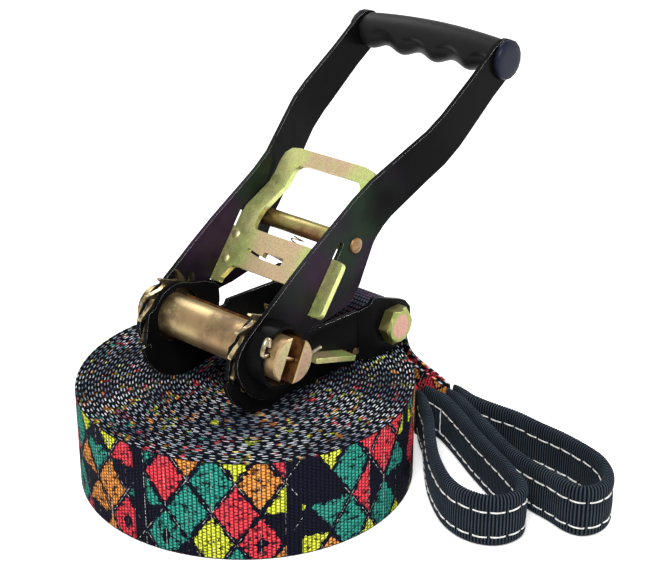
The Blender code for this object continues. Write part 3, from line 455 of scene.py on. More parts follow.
def lozenge_cell(s, u, v, seed, rough, colours):
    """The inked part of a lozenge cell, its colour, and how near its outline is, which is at 1."""
    x, y = u.fract() - 0.5, v.fract() - 0.5
    reach = (x.size() + y.size()) * 2
    luck, heart_luck, tone_luck = [
        s.chance(s.joined(u.floor(), v.floor(), seed + step)) for step in (0, 20, 40)]
    inked = (reach + rough).below(ink_reach) * luck.above(missing_below)
    ragged_x, ragged_y = x + rough * 0.5, y + rough * 0.5
    not_upper = luck.below(onward_below).top(luck.above(upper_below))
    upper = ragged_y.above(-half_overlap).top(not_upper)
    lower = ragged_y.below(half_overlap).top(luck.below(upper_below))
    not_onward = luck.below(whole_below).top(luck.above(onward_below))
    onward = ragged_x.above(-half_overlap).top(not_onward)
    heart = (reach + rough).above(heart_reach).top(heart_luck.above(heart_share))
    return inked * upper * lower * onward * heart, tone_luck.pick(colours), reach


def printed_colour(s, run, rise, seed, colours):
    """A loose generic print: worn lozenges and half lozenges, with thin broken lines."""
    u, v = run / print_pitch, rise / print_row + row_shift
    dark = s.noise(1.0, 2, s.joined(run * 60, rise * 40, 4.0)).mix(navy, ink_black)
    grit = s.noise(1.0, 4, s.joined(run * 260, rise * 330, seed + 3), 0.7)
    rough = (grit - 0.5) * 0.75
    one, tone_one, reach = lozenge_cell(s, u, v, seed, rough, colours)
    two, tone_two, _ = lozenge_cell(s, u + 0.5, v + 0.5, seed + 2, rough, colours)
    crack = s.noise(1.0, 5, s.joined(run * 300, rise * 400, seed), 0.74).ramp(0.52, 0.555)
    patch = s.noise(1.0, 2, s.joined(run * 70, rise * 90, seed + 5)).ramp(0.38, 0.52, 0.3, 1.0)
    plain = (run / plain_band_pitch).fract().below(plain_band_share)
    keep = ((crack * patch) * -0.96 + 1.0) * plain.left_over()
    painted = (one * keep).mix(dark, tone_one)
    painted = (two * keep).mix(painted, tone_two)
    broken = s.noise(1.0, 3, s.joined(run * 420, rise * 420, 1.0)).above(0.5)
    outlined = s.noise(1.0, 1, s.joined(run * 40, rise * 30, 8.0)).above(0.5)
    outline = (reach - 1.0).size().below(outline_half) * outlined
    ruled = s.chance(s.joined((u * 2 + 0.5).floor(), 0.0, 6.0)).above(rule_missing)
    rule = ((u * 2).fract() - 0.5).size().above(rule_from) * ruled
    return (outline.top(rule) * broken * 0.8).mix(painted, thin_line_white)


def edge_speckle(s, run, side, busy, colours):
    """The band's woven edge: slanted pale floats, tinted where the print runs over the edge, and
    dark towards the band's faces as painted shade in the gaps between turns.
    """
    slate, white, shade_blue = (0.17, 0.21, 0.29), (0.86, 0.89, 0.93), (0.05, 0.085, 0.145)
    under_threads_and_gap_shade = (0.003, 0.0035, 0.007)
    phase = run / dash_pitch + side * 0.12
    wide = s.noise(1.0, 2, s.joined(run * 120, 0.0, 3.0)).ramp(0.3, 0.7, 0.3, 0.56)
    dash = phase.zigzag().ramp(wide - 0.12, wide + 0.12, 1, 0)
    # Painted shade: the floats fade to near black towards the band's faces, where the gaps between
    # turns are
    dash = dash * side.size().ramp(0.15, 0.62, 1, 0)
    dim = s.noise(30, 3).ramp(0.36, 0.62, 0.1, 1.0)
    pale = s.chance(s.joined(phase.floor(), 0.0, 1.0)).mix(slate, white)
    pale = dim.mix(shade_blue, pale)
    spot = s.noise(210, 2).ramp(busy, busy + 0.02)
    spot = spot * s.chance(s.joined((run / spot_pitch).floor(), 0.0, 4.0)).above(0.3)
    ink = s.noise(45, 1, s.stretched((1.0, 1.0, 0.5))).ramp(0.34, 0.66).pick(colours)
    under = (spot * 0.18).mix(under_threads_and_gap_shade, ink)
    pale = (spot * 0.85).mix(pale, ink)
    return dash.mix(under, pale)


def printed_webbing(name, busy, seed, colours, scale=1.0, shade_above=0.0):
    """Woven polyester band with a worn print; above a given height it can turn to painted shade,
    near-black navy with painted glints on the thread tops.
    """
    shaded_navy, thread_glint_blue = (0.0035, 0.0045, 0.009), (0.06, 0.085, 0.14)
    s = Surface(name)
    run, rise, side = s.attribute("run"), s.attribute("rise"), s.attribute("side")
    weave = weave_height(run, rise)
    print_tone = printed_colour(s, run / scale, rise / scale, seed, colours)
    # Painted shade: the gaps between the woven threads are darkened towards near black
    flat_side = (weave * 1.02 + 0.14).mix(weave_gap_shade, print_tone)
    half = webbing_width / 2
    rim = (rise - half).size().ramp(half - edge_from, half - edge_full)
    colour = rim.mix(flat_side, edge_speckle(s, run, side, busy, colours))
    # Painted shade and glints: above the height the print gives way to near-black navy, with blue
    # glints on the thread tops
    if shade_above:
        height = s.distance(s.stretched((0.0, 0.0, 1.0)), (0.0, 0.0, 0.0))
        high = height.ramp(shade_above - shade_fade_length, shade_above)
        plain = weave.ramp(0.0, 1.0).mix(shaded_navy, thread_glint_blue)
        colour = (high * 0.93).mix(colour, plain)
    s.bump(weave * rim.left_over(), 0.0007, 1.0)
    return s.finish(colour, 0.78, ior=1.12)


# The sleeves' weave, in metres
rib_pitch = 0.00142
sleeve_thread_pitch = 0.0007


def sleeve_webbing():
    """Dark slate sleeve webbing with raised cross ribs, painted shade in the grooves between them
    and a painted highlight on the threads of their tops.
    """
    dark_slate, slate = (0.013, 0.018, 0.026), (0.05, 0.07, 0.098)
    groove_shade, thread_highlight = (0.0008, 0.0011, 0.0016), (0.06, 0.076, 0.092)
    s = Surface("sleeve_webbing")
    run, rise = s.attribute("run"), s.attribute("rise")
    rib = (run / rib_pitch).zigzag().ramp(0.05, 0.78, 1, 0)
    threads = rise / sleeve_thread_pitch + (run / rib_pitch).floor() * 0.5
    thread_dip = threads.zigzag().ramp(0.1, 0.9, 1, 0)
    base = s.noise(1.0, 3, s.joined(run * 90, rise * 130, 0.0)).mix(dark_slate, slate)
    # Painted shade in the grooves between the ribs and a painted highlight on the rib tops' threads
    colour = ((thread_dip * rib) * 0.35).mix(rib.mix(groove_shade, base), thread_highlight)
    s.bump(rib * 0.6 + thread_dip * 0.3, 0.0004, 0.9)
    s.shader.inputs["Sheen Weight"].default_value = 0.02
    s.shader.inputs["Sheen Roughness"].default_value = 0.4
    return s.finish(colour, 0.62, ior=1.12)


def stitch_thread():
    """Twisted off-white sewing thread."""
    shade, white = (0.62, 0.61, 0.58), (0.86, 0.85, 0.82)
    s = Surface("stitch_thread")
    twist = ((s.attribute("run") * 1400).sine() + 1.0) * 0.5
    s.bump(twist, 0.0001, 0.8)
    return s.finish(twist.mix(shade, white), 0.7)


paint = black_paint("black_paint")
handle_paint_and_reflection = black_paint("handle_paint_and_reflection", True)
edge = rubbed_and_highlit_edge()
yellow = yellow_zinc("yellow_zinc")
pawl_finish = yellow_zinc("pawl_zinc", True)
bronze = bronze_zinc()
bolt_finish = bolt_zinc()
half_moon = half_moon_zinc()
gold = gold_edge()
steel = bright_steel()
rubber = grip_rubber()
plastic = cap_plastic()
webbing = printed_webbing("printed_webbing", 0.59, 1.0, print_colours)
strap_webbing = printed_webbing("strap_webbing", 0.46, 11.0, strap_colours, 0.6, 0.06)
wheel_flat_shade = shaded_wheel_flats()
sleeve = sleeve_webbing()
thread = stitch_thread()


def new_piece(name, points, faces, finish, smooth_angle):
    """A mesh object, shaded smooth up to an angle in degrees."""
    mesh = bpy.data.meshes.new(name)
    mesh.from_pydata([tuple(p) for p in points], [], faces)
    mesh.validate()
    shape = bmesh.new()
    shape.from_mesh(mesh)
    if shape.calc_volume(signed=True) < 0:
        bmesh.ops.reverse_faces(shape, faces=shape.faces[:])
    shape.to_mesh(mesh)
    shape.free()
    mesh.materials.append(finish)
    mesh.shade_smooth()
    mesh.set_sharp_from_angle(angle=math.radians(smooth_angle))
    return linked(name, mesh)


def settle(piece, body, slot, *nodes):
    """Ride on a body and stand for CAD nodes by hiding them; slot is not used."""
    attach(piece, body)
    if nodes:
        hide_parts(*nodes)
    return piece


def band_faces(base, total, count):
    """Faces between rings of count points, the first of them starting at point base."""
    faces = []
    for i in range(total - 1):
        a, b = base + i * count, base + (i + 1) * count
        for j in range(count):
            k = (j + 1) % count
            faces.append((a + j, a + k, b + k, b + j))
    return faces


def tube_faces(base, total, count):
    """The same with both ends closed."""
    last = base + (total - 1) * count
    ends = [tuple(range(base, base + count))[::-1], tuple(range(last, last + count))]
    return band_faces(base, total, count) + ends


def skin(name, rings, finish, smooth_angle):
    """A closed skin through rings."""
    faces = tube_faces(0, len(rings), len(rings[0]))
    return new_piece(name, [p for ring in rings for p in ring], faces, finish, smooth_angle)


def oval(centre, one, two, count):
    """A ring of points from two half axes."""
    angles = [math.tau * j / count for j in range(count)]
    return [centre + one * math.cos(angle) + two * math.sin(angle) for angle in angles]


def store(piece, **numbers):
    """Keep one number of each name for each point."""
    for name, values in numbers.items():
        layer = piece.data.attributes.new(name, "FLOAT", "POINT")
        layer.data.foreach_set("value", np.asarray(values, dtype=np.float32))


def heading(path, i):
    """Which way a path runs at one of its points."""
    return (path[min(i + 1, len(path) - 1)] - path[max(i - 1, 0)]).normalized()


def eased(t):
    """A smooth step from 0 to 1."""
    t = min(max(t, 0), 1)
    return t * t * (3 - 2 * t)


# Smooth copies of rigid nodes, and how the parts of a plate are told apart
across = Vector((0, 1, 0))
upward = Vector((0, 0, 1))
flat_facing = 0.85
bevel_facing = 0.3
bevel_width = 0.00045
bore_facing = 0.5
weld_distance = 0.000004


def face_part(face):
    """0 for a flat of a plate, 1 for its narrow bevels, 2 for its cut edge."""
    share = abs(face.normal.dot(across))
    if share > flat_facing:
        return 0
    narrow = 2 * face.calc_area() / max(e.calc_length() for e in face.edges)
    return 1 if narrow < bevel_width and share > bevel_facing else 2


def smooth_node(name, finish, body, slot, rim=None, cut=None, smooth_angle=38):
    """A welded, smooth copy of a rigid node; rim finishes a plate's bevels and cut its edge."""
    shape = bmesh.new()
    shape.from_mesh(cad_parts[name].data)
    bmesh.ops.remove_doubles(shape, verts=shape.verts[:], dist=weld_distance)
    shape.normal_update()
    for face in shape.faces:
        face.smooth = True
        face.material_index = face_part(face) if rim else 0
    for line in shape.edges:
        if len(line.link_faces) == 2:
            a, b = line.link_faces
            line.smooth = a.normal.angle(b.normal, 0) < math.radians(smooth_angle)
    mesh = bpy.data.meshes.new(name + "_finish")
    shape.to_mesh(mesh)
    shape.free()
    for each in (finish, rim or finish, cut or finish):
        mesh.materials.append(each)
    return settle(linked(name + "_finish", mesh), body, slot, name)


def line_bore(piece, finish):
    """Give the faces that look in at the spindle another finish."""
    piece.data.materials.append(finish)
    for face in piece.data.polygons:
        out = Vector((face.center.x - spindle_x, 0, face.center.z - spindle_z))
        if face.normal.dot(out) < -bore_facing * out.length:
            face.material_index = len(piece.data.materials) - 1


def smooth_spring(name, body):
    """A smooth coil spring riding on its body, with a mesh of its own."""
    spring = smooth_node(name, steel, body, "spring_steel", smooth_angle=80)
    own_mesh(spring)


for side in ("near", "far"):
    smooth_node("frame_plate_" + side, paint, "frame", "black_steel", edge)
    smooth_node("handle_plate_" + side, handle_paint_and_reflection, "handle", "black_steel", edge)
    # The wheels' broad flats take painted shade; their bevels and cut edges keep the gold zinc
    smooth_node("ratchet_wheel_" + side, wheel_flat_shade, "spindle", "bronze_zinc", gold, gold)
smooth_node("anchor_bolt", bolt_finish, "frame", "yellow_zinc", smooth_angle=32)
smooth_node("anchor_nut", yellow, "frame", "yellow_zinc", smooth_angle=32)
smooth_node("bolt_sleeve", bronze, "frame", "bronze_zinc")
smooth_node("lock_stop_bar", bronze, "frame", "bronze_zinc")
smooth_node("lock_plate", yellow, "lock", "bronze_zinc")
smooth_spring("lock_spring", "lock")
smooth_spring("pawl_spring", "pawl")
smooth_node("grip_rod", steel, "handle", "spring_steel")
for place in ("front", "rear"):
    smooth_node("half_moon_" + place, half_moon, "spindle", "bronze_zinc", gold, smooth_angle=30)
pawl = smooth_node("pawl_plate", pawl_finish, "pawl", "yellow_zinc")
pawl.modifiers.new("even_shading", "WEIGHTED_NORMAL").keep_sharp = True
for side in ("near", "far"):
    line_bore(smooth_node("spindle_washer_" + side, paint, "spindle", "black_steel"), bronze)
    smooth_node("cotter_" + side, steel, "spindle", "spring_steel", smooth_angle=80)
    smooth_node("grip_cap_" + side, plastic, "handle", "cap_plastic")
smooth_node("cross_bar", bronze, "handle", "bronze_zinc")


# The grip, in metres: a crowned back and finger scoops below; shares are of its length
grip_radius = 0.0088
grip_crown = 0.0026
crown_turn = math.radians(25)
grip_half = 0.0418
grip_along, grip_below = 0.186, 0.001
grip_steps, grip_around = 96, 72
grip_end_share, grip_end_draw = 0.02, 0.05
scoop_share = 0.25
scoop_start_share = 0.05
scoop_depth = 0.0028
# Where round the grip a scoop starts, as the cosine from its under side
scoop_edge, scoop_edge_rise, scoop_edge_soft = -0.02, 0.22, 0.42
# How sharply the crown falls off round the grip and along it, and how full a scoop is
crown_power, crown_end_power, scoop_power = 1.5, 0.8, 0.85


def grip_reach(angle, along):
    """How far the grip's skin is from its middle line."""
    facing = math.cos(angle - crown_turn)
    crown = 0
    if abs(along) < 1:
        crown = grip_crown * max(facing, 0) ** crown_power
        crown *= math.cos(math.pi / 2 * along) ** crown_end_power
    place = ((1 - along) / 2 - scoop_start_share) / scoop_share
    hollow = (0.5 - 0.5 * math.cos(math.tau * place)) ** scoop_power
    edge = scoop_edge + scoop_edge_rise * (1 - hollow)
    return grip_radius + crown - scoop_depth * hollow * eased((-facing - edge) / scoop_edge_soft)


def make_grip():
    """The moulded grip between the handle plates."""
    outward = Vector((math.cos(handle_angle), 0, math.sin(handle_angle)))
    raised = Vector((-math.sin(handle_angle), 0, math.cos(handle_angle)))
    middle = spindle_place + outward * grip_along - raised * grip_below
    rings = []
    for i in range(grip_steps + 1):
        along = 2 * i / grip_steps - 1
        end = min(1 - abs(along), grip_end_share) / grip_end_share
        soft = 1 - grip_end_draw * (1 - end) ** 2
        ring = []
        for k in range(grip_around):
            angle = math.tau * k / grip_around
            radius = grip_reach(angle, along) * soft
            spoke = outward * math.cos(angle) + raised * math.sin(angle)
            ring.append(middle + across * (along * grip_half) + spoke * radius)
        rings.append(ring)
    settle(skin("moulded_grip", rings, rubber, 55), "handle", "grip_rubber", "grip")


make_grip()


# The long webbing, in metres: every turn of the real coil, where the solid has fewer and thicker
real_turns = 50
webbing_thickness = 0.00137
turn_points = 96
coil_start_angle, coil_end_angle = math.radians(-50), math.radians(-20)
coil_waver = 0.00016
coil_flat_share = 0.036
coil_flat_angle = math.radians(-48)
turn_lift = 0.0005
tail_steps = 16
tail_lead_share = 0.07
tail_end_shares = (1.616, -0.796)
tail_thickness = 0.005
tail_below_eye = 0.0004


def wander(angle, turn, seed):
    """A small slow waver along the winding, from -1 to 1."""
    a = math.sin(angle * 2 + turn * 0.7 + seed)
    b = math.sin(angle * 3 - turn * 1.3 + seed * 2.1)
    return (a + b * 0.6) / 1.6


def coil_path():
    """Middle points of the wound band in plan, and the turns made at each."""
    swept = math.tau * real_turns + coil_start_angle - coil_end_angle
    count = int(swept / math.tau * turn_points)
    radius_span = roll_radius - webbing_thickness / 2 - roll_hole_radius
    points, turns = [], []
    for k in range(count + 1):
        share = k / count
        turn = swept * share
        angle = coil_start_angle - turn
        slow = wander(angle, turn / math.tau * 0.35, 1.0)
        pressed = 1 - coil_flat_share * max(math.cos(angle - coil_flat_angle), 0) ** 2
        radius = (roll_hole_radius + radius_span * share) * pressed
        radius += coil_waver * slow * math.sin(math.pi * share)
        points.append(Vector((math.cos(angle), math.sin(angle))) * radius)
        turns.append(turn / math.tau)
    return points, turns


def band_section(thickness, height):
    """A flat band on edge with rounded edges: (across, up) pairs."""
    half = thickness / 2
    low = [(half * 0.55, half * 0.18), (half * 0.9, half * 0.6), (half, half * 1.3)]
    right = low + [(half, height * 0.5)] + [(a, height - b) for a, b in low[::-1]]
    return [(0, 0)] + right + [(0, height)] + [(-a, b) for a, b in right[::-1]]


def make_coil():
    """The coil with its folded outer end, as one band."""
    points, turns = coil_path()
    wound = len(points)
    last, aim = points[-1], Vector(tail_end_shares) * webbing_width
    lead = webbing_width * tail_lead_share
    one, two = last + (last - points[-2]).normalized() * lead, aim + Vector((0, lead))
    for k in range(1, tail_steps + 1):
        t = k / tail_steps
        points.append(last * (1 - t) ** 3 + one * 3 * t * (1 - t) ** 2
                      + two * 3 * t * t * (1 - t) + aim * t ** 3)
        turns.append(turns[wound - 1])
    rings, runs, rises, sides = [], [], [], []
    length = 0.0
    for i, (point, turn) in enumerate(zip(points, turns)):
        run = heading(points, i)
        side = Vector((-run.y, run.x, 0))
        length += (point - points[i - 1]).length if i else 0
        ease = eased((i - wound + 1) / tail_steps)
        lift = turn_lift * (1 + wander(math.atan2(point.y, point.x), turn, 4.0)) * (1 - ease)
        high = (webbing_width - lift) * (1 - ease) + (eye_height - tail_below_eye) * ease
        thick = webbing_thickness * (1 - ease) + tail_thickness * ease
        ring = []
        for a, b in band_section(thick, high):
            ring.append(Vector((*point, 0)) + side * a + upward * b)
            runs.append(length)
            rises.append(b / high * webbing_width)
            sides.append(a / thick * 2)
        rings.append(ring)
    piece = skin("webbing_coil", rings, webbing, 70)
    store(piece, run=runs, rise=rises, side=sides)
    settle(piece, "frame", "printed_webbing", "line_roll", "line_tail")


def smooth_path(points, per_span):
    """A smooth curve through the points."""
    points = [Vector(p) for p in points]
    ends = points[0] * 2 - points[1], points[-1] * 2 - points[-2]
    controls = [ends[0], *points, ends[1]]
    result = []
    for i in range(1, len(controls) - 2):
        p0, p1, p2, p3 = controls[i - 1:i + 3]
        for k in range(per_span):
            t = k / per_span
            slope = (p2 - p0) * t
            bend = (p0 * 2 - p1 * 5 + p2 * 4 - p3) * t * t
            result.append(0.5 * (p1 * 2 + slope + bend + (p1 * 3 - p0 - p2 * 3 + p3) * t ** 3))
    return result + [points[-1]]


# Plans of the eyes, in shares of the roll's radius
line_eye_plan_shares = [
    (0.938, -0.484), (0.93, -0.518), (0.895, -0.565), (0.829, -0.637), (0.751, -0.724),
    (0.601, -0.856), (0.419, -1.031), (0.27, -1.226), (0.209, -1.373), (0.208, -1.496),
    (0.25, -1.587), (0.322, -1.635), (0.409, -1.641), (0.481, -1.596), (0.532, -1.508),
    (0.595, -1.4), (0.672, -1.243), (0.768, -1.058), (0.879, -0.865), (0.981, -0.673),
    (1.005, -0.577), (1.01, -0.526), (1.01, -0.484)]
strap_eye_plan_shares = [
    (1.073, -0.612), (1.07, -0.649), (1.046, -0.721), (0.986, -0.841), (0.877, -1.046),
    (0.745, -1.292), (0.679, -1.49), (0.646, -1.659), (0.613, -1.788), (0.631, -1.872),
    (0.715, -1.914), (0.817, -1.899), (0.901, -1.839), (0.977, -1.74), (1.022, -1.617),
    (1.061, -1.442), (1.079, -1.268), (1.1, -1.094), (1.094, -0.925), (1.097, -0.781),
    (1.119, -0.709), (1.138, -0.652), (1.142, -0.612)]
# Stations of the strap's limbs: place in shares of the roll's radius and the webbing's width,
# then the reach from the middle to the near edge in shares of the width
outer_limb_shares = [
    (1.101, -0.606, 0.27, 0, 0, 0.254), (1.112, -0.481, 0.312, -0.02, -0.06, 0.285),
    (1.097, -0.325, 0.42, -0.075, -0.205, 0.28), (1.071, -0.18, 0.64, -0.11, -0.335, 0.2),
    (1.058, -0.084, 0.9, -0.11, -0.44, 0.1), (1.019, -0.041, 1.15, -0.05, -0.484, 0.03),
    (0.938, -0.029, 1.35, 0, -0.49, 0), (0.841, -0.029, 1.466, 0, -0.49, 0)]
inner_limb_shares = [
    (0.859, -0.029, 1.116, 0, -0.49, 0), (0.956, -0.03, 1.084, -0.03, -0.488, 0.002),
    (1.017, -0.047, 1.02, -0.08, -0.476, -0.02), (1.025, -0.096, 0.83, -0.1, -0.412, 0.07),
    (1.025, -0.192, 0.6, -0.09, -0.3, 0.19), (1.049, -0.325, 0.41, -0.05, -0.185, 0.26),
    (1.071, -0.469, 0.312, -0.012, -0.06, 0.27), (1.064, -0.606, 0.27, 0, 0, 0.254)]
strap_half_width_share = 0.49
wrap_radius = 0.0086
wrap_start, wrap_end, wrap_stations = math.radians(82), math.radians(278), 7

# An eye's sleeve; its half section is in shares of half its thickness and of its height
eye_side_shares = [
    (0.45, 0.012), (0.8, 0.05), (0.95, 0.11), (0.9, 0.165), (0.8, 0.202), (0.89, 0.25),
    (0.96, 0.34), (0.98, 0.45), (0.96, 0.56), (0.89, 0.66), (0.8, 0.71), (0.91, 0.75),
    (1.0, 0.82), (1.0, 0.88), (0.88, 0.945), (0.62, 0.985), (0.32, 0.998)]
plan_span_points = 12
ribs_raised = 0.00019
ribbed_above = 0.02
rings_per_rib = 5
eye_visual_height = 0.0256
eye_taper_length = 0.012
eye_end_share = 0.5


def eye_section():
    """A padded sleeve on edge, drawn in at its two rows of stitches."""
    return [(0, 0)] + eye_side_shares + [(0, 1)] + [(-a, b) for a, b in eye_side_shares[::-1]]


def even_path(points, step):
    """Points at even steps along a path."""
    lengths = [0.0]
    for a, b in zip(points, points[1:]):
        lengths.append(lengths[-1] + (b - a).length)
    count = round(lengths[-1] / step)
    result, i = [], 0
    for k in range(count + 1):
        along = lengths[-1] * k / count
        while i < len(points) - 2 and lengths[i + 1] < along:
            i += 1
        share = (along - lengths[i]) / max(lengths[i + 1] - lengths[i], 1e-9)
        result.append(points[i].lerp(points[i + 1], share))
    return result, lengths[-1]


def eye_taper(along, total):
    """How full the sleeve is: it is drawn in towards both ends."""
    return eye_end_share + (1 - eye_end_share) * eased(min(along, total - along) / eye_taper_length)


def make_eye(name, node, plan_shares, lean):
    """A sewn eye in a ribbed sleeve, with two rows of stitches on each side."""
    plan = [(x * roll_radius, y * roll_radius, 0) for x, y in plan_shares]
    control = smooth_path(plan, plan_span_points)
    start = control[0]
    farthest = max((point - start).length for point in control)
    control = [p + Vector(lean) * ((p - start).length / farthest) ** 2 for p in control]
    path, total = even_path(control, rib_pitch / rings_per_rib)
    rings, runs, rises, frames = [], [], [], []
    for i, point in enumerate(path):
        run = heading(path, i)
        side = Vector((-run.y, run.x, 0))
        length = total * i / (len(path) - 1)
        frames.append((point, side, run, length))
        rib = ribs_raised * math.cos(math.tau * (length / rib_pitch - 0.5))
        full = eye_taper(length, total)
        ring = []
        for a, b in eye_section():
            reach = eye_thickness / 2 - ribs_raised + (rib if b > ribbed_above else 0)
            high = b * (eye_visual_height - ribs_raised) + rib * b ** 4
            ring.append(point + side * (a * reach * full) + upward * high)
            runs.append(length)
            rises.append(b * eye_height)
        rings.append(ring)
    piece = skin(name, rings, sleeve, 80)
    store(piece, run=runs, rise=rises)
    settle(piece, "frame", "sleeve_webbing", node)
    make_stitches(name.replace("_sleeve", "_stitches"), frames, total)


# Stitches, in metres; the shares are of half the sleeve's thickness
stitch_length = 0.006
stitch_gap = 0.0013
stitch_wide = 0.0004
stitch_flat = stitch_wide * 0.8
stitch_rows = [0.0052, 0.0182]
stitch_out_share, stitch_arch, stitch_sunk = 0.8, 1.1, 0.5
stitch_steps, stitch_around = 8, 8
row_start, row_start_spread, row_end = 0.003, 0.002, 0.002
slant_spread, height_spread, gap_spread = 0.0004, 0.0002, 0.0004
tack_place = 0.0165
tack_out_share, tack_proud = 0.92, 0.3
tack_steps = 12
tack_bow, tack_wave, tack_wave_turn = 0.0007, 0.0003, 9


def place_on(frames, along):
    """The point, side and run of a path at a length along it."""
    for i in range(1, len(frames)):
        if frames[i][3] >= along:
            a, b = frames[i - 1], frames[i]
            t = (along - a[3]) / max(b[3] - a[3], 1e-9)
            side, run = a[1].lerp(b[1], t), a[2].lerp(b[2], t)
            return a[0].lerp(b[0], t), side.normalized(), run.normalized()
    return frames[-1][:3]


def stitch_rings(frames, start, height, side_sign, slant):
    """A short thread that dips into the sleeve at both ends."""
    rings = []
    for k in range(stitch_steps + 1):
        t = k / stitch_steps
        along = start + stitch_length * t
        point, side, _ = place_on(frames, along)
        arch = math.sin(math.pi * t) ** 0.5
        surface = eye_thickness / 2 * stitch_out_share * eye_taper(along, frames[-1][3])
        out = surface + stitch_wide * (arch * stitch_arch - stitch_sunk)
        centre = point + side * (side_sign * out) + upward * (height + slant * (t - 0.5))
        rings.append(oval(centre, side * stitch_flat, upward * stitch_wide, stitch_around))
    return rings


def make_stitches(name, frames, length):
    """All stitches of one eye as one piece."""
    points, faces, runs = [], [], []
    for side_sign in (-1, 1):
        for row in stitch_rows:
            start = row_start + random.random() * row_start_spread
            while start + stitch_length < length - row_end:
                slant = random.uniform(-slant_spread, slant_spread)
                height = row + random.uniform(-height_spread, height_spread)
                faces += tube_faces(len(points), stitch_steps + 1, stitch_around)
                for i, ring in enumerate(stitch_rings(frames, start, height, side_sign, slant)):
                    points += ring
                    runs += [start + stitch_length * i / stitch_steps] * stitch_around
                start += stitch_length + stitch_gap + random.uniform(-gap_spread, gap_spread)
    add_tack(frames, length, points, faces, runs)
    piece = new_piece(name, points, faces, thread, 60)
    store(piece, run=runs)
    settle(piece, "frame", "sleeve_webbing")


def add_tack(frames, length, points, faces, runs):
    """An upright stitch that joins the two rows where they end."""
    point, side, run = place_on(frames, length - tack_place)
    low, high = stitch_rows
    out = side * (eye_thickness / 2 * tack_out_share + stitch_wide * tack_proud)
    faces += tube_faces(len(points), tack_steps + 1, stitch_around)
    for i in range(tack_steps + 1):
        t = i / tack_steps
        bow = run * (tack_bow * math.sin(math.pi * t) + tack_wave * math.sin(tack_wave_turn * t))
        centre = point + out + bow + upward * (low + (high - low) * t)
        points += oval(centre, side * stitch_flat, run * stitch_wide, stitch_around)
        runs += [(high - low) * t] * stitch_around


def limb_stations(shares):
    """The middle of a strap's limb and its reach to the near edge."""
    return [(Vector((x * roll_radius, y * roll_radius, z * webbing_width)),
             Vector(reach) * webbing_width) for x, y, z, *reach in shares]


def strap_stations():
    """The same for the whole bolt strap: out, round the bolt and back."""
    near = Vector((0, -strap_half_width_share * webbing_width, 0))
    wrap = []
    for angle in np.linspace(wrap_start, wrap_end, wrap_stations):
        x = bolt_x + wrap_radius * math.cos(angle)
        z = bolt_z + wrap_radius * math.sin(angle)
        wrap.append((Vector((x, ratchet_y, z)), near))
    return limb_stations(outer_limb_shares) + wrap + limb_stations(inner_limb_shares)


strap_span_points = 8
strap_across_steps = 10
strap_fill = 0.95
strap_edge_thinned, strap_edge_power = 0.45, 12
strap_side = 0.5


def make_strap():
    """The short printed strap round the anchor bolt, with thinned edges."""
    stations = strap_stations()
    middles = smooth_path([s[0] for s in stations], strap_span_points)
    reaches = smooth_path([s[1] for s in stations], strap_span_points)
    rings, runs, rises, sides = [], [], [], []
    length = 0.0
    for i, (middle, reach) in enumerate(zip(middles, reaches)):
        out = heading(middles, i).cross(reach).normalized() * (strap_layer / 2 * strap_fill)
        length += (middle - middles[i - 1]).length if i else 0
        ring = []
        for sign in (1, -1):
            for k in range(strap_across_steps + 1):
                t = (k / strap_across_steps * 2 - 1) * sign
                thin = 1 - strap_edge_thinned * abs(t) ** strap_edge_power
                ring.append(middle + reach * t + out * (sign * thin))
                runs.append(length)
                rises.append((t + 1) / 2 * webbing_width)
                sides.append(strap_side * sign)
        rings.append(ring)
    piece = skin("bolt_strap", rings, strap_webbing, 60)
    store(piece, run=runs, rise=rises, side=sides)
    settle(piece, "frame", "printed_webbing", "strap_bolt_loop")


make_coil()
make_eye("line_eye_sleeve", "line_eye", line_eye_plan_shares, (0.001, 0.0028, 0))
make_eye("strap_eye_sleeve", "strap_eye", strap_eye_plan_shares, (0.0028, 0.0008, 0))
make_strap()


# Dimples pressed into the release pawl: places along it and off its middle
dimple_places = [(0.0469, 0.0272), (0.0342, 0.0272)]
dimple_radius = 0.0024
dimple_height = 0.0009
dimple_steps, dimple_around = 6, 24
pawl_face = -0.0173 + 0.0015
dimple_sunk = 0.0001


def make_dimples():
    """Four low domes on the pawl's face."""
    along = Vector((math.cos(pawl_angle), 0, math.sin(pawl_angle)))
    normal = Vector((-math.sin(pawl_angle), 0, math.cos(pawl_angle)))
    points, faces = [], []
    for s, y in dimple_places:
        for sign in (-1, 1):
            centre = spindle_place + along * s + across * (y * sign)
            centre += normal * (pawl_face - dimple_sunk)
            base = len(points)
            for i in range(dimple_steps):
                angle = math.pi / 2 * i / dimple_steps
                radius = dimple_radius * math.cos(angle)
                middle = centre + normal * (dimple_height * math.sin(angle))
                points += oval(middle, along * radius, across * radius, dimple_around)
            top = len(points)
            points.append(centre + normal * dimple_height)
            faces += band_faces(base, dimple_steps, dimple_around)
            last = top - dimple_around
            for j in range(dimple_around):
                faces.append((last + j, last + (j + 1) % dimple_around, top))
            faces.append(tuple(range(base, base + dimple_around))[::-1])
    settle(new_piece("pawl_dimples", points, faces, yellow, 50), "pawl", "yellow_zinc")


make_dimples()


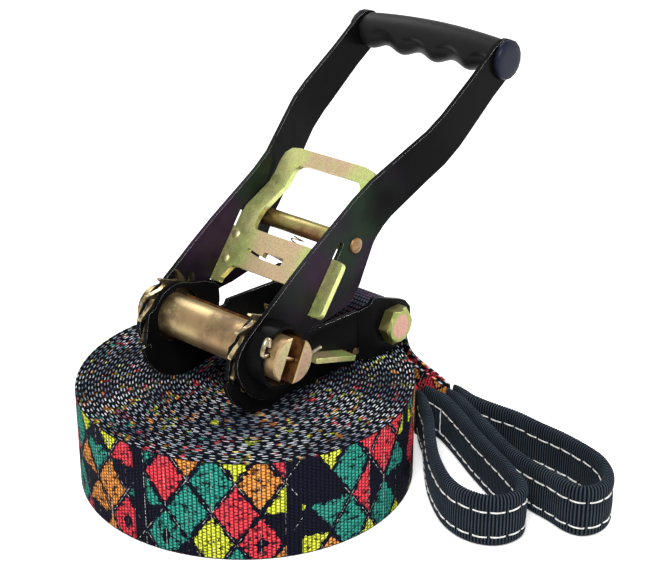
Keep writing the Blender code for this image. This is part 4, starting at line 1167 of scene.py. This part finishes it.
# Floor, lamps and background
floor_reach, floor_drop = 6.0, 0.0002
floor_white, floor_glow = (0.93, 0.93, 0.93), 0.42
world_light, world_mirrored = 0.36, 0.8


def seen_rays(tree):
    """1 for rays from the camera, in mirrors and through glass, as three fields."""
    names = ("Is Camera Ray", "Is Glossy Ray", "Is Transmission Ray")
    return [new_field(tree, "LightPath", {}, name) for name in names]


def make_floor():
    """A wide pale floor."""
    corners = [(-1, -1), (1, -1), (1, 1), (-1, 1)]
    mesh = bpy.data.meshes.new("floor")
    mesh.from_pydata([(x * floor_reach, y * floor_reach, -floor_drop) for x, y in corners],
                     [], [(0, 1, 2, 3)])
    floor = linked("floor", mesh)
    s = Surface("pale_floor")
    s.finish(floor_white, 0.9)
    s.shader.inputs["Specular IOR Level"].default_value = 0.1
    camera, mirror, glass = seen_rays(s.tree)
    s.shader.inputs["Emission Color"].default_value = (1, 1, 1, 1)
    plug(s.tree, s.shader.inputs["Emission Strength"], camera.top(mirror).top(glass) * floor_glow)
    mesh.materials.append(s.material)


def make_world():
    """Even pale light, white where it is seen or mirrored."""
    world = bpy.data.worlds.new("studio")
    bpy.context.scene.world = world
    world.use_nodes = True
    tree = world.node_tree
    back = tree.nodes["Background"]
    back.inputs["Color"].default_value = (1, 1, 1, 1)
    camera, mirror, glass = seen_rays(tree)
    seen = camera.top(glass).top(mirror * world_mirrored)
    plug(tree, back.inputs["Strength"], seen.top(world_light))


def make_lamp(name, place, aim, wide, watts):
    """A soft square lamp."""
    data = bpy.data.lights.new(name, "AREA")
    data.size = wide
    data.energy = watts
    lamp = linked(name, data)
    lamp.location = place
    lamp.rotation_euler = (Vector(aim) - Vector(place)).to_track_quat("-Z", "Y").to_euler()


make_floor()
make_world()
make_lamp("key_lamp", (-0.75, -0.55, 1.15), (0, 0, 0.05), 0.5, 20)
make_lamp("side_lamp", (0.95, -0.75, 0.75), (0, 0, 0.05), 0.5, 9)
make_lamp("back_lamp", (0.35, 1.05, 0.95), (0, 0, 0.06), 0.6, 7)
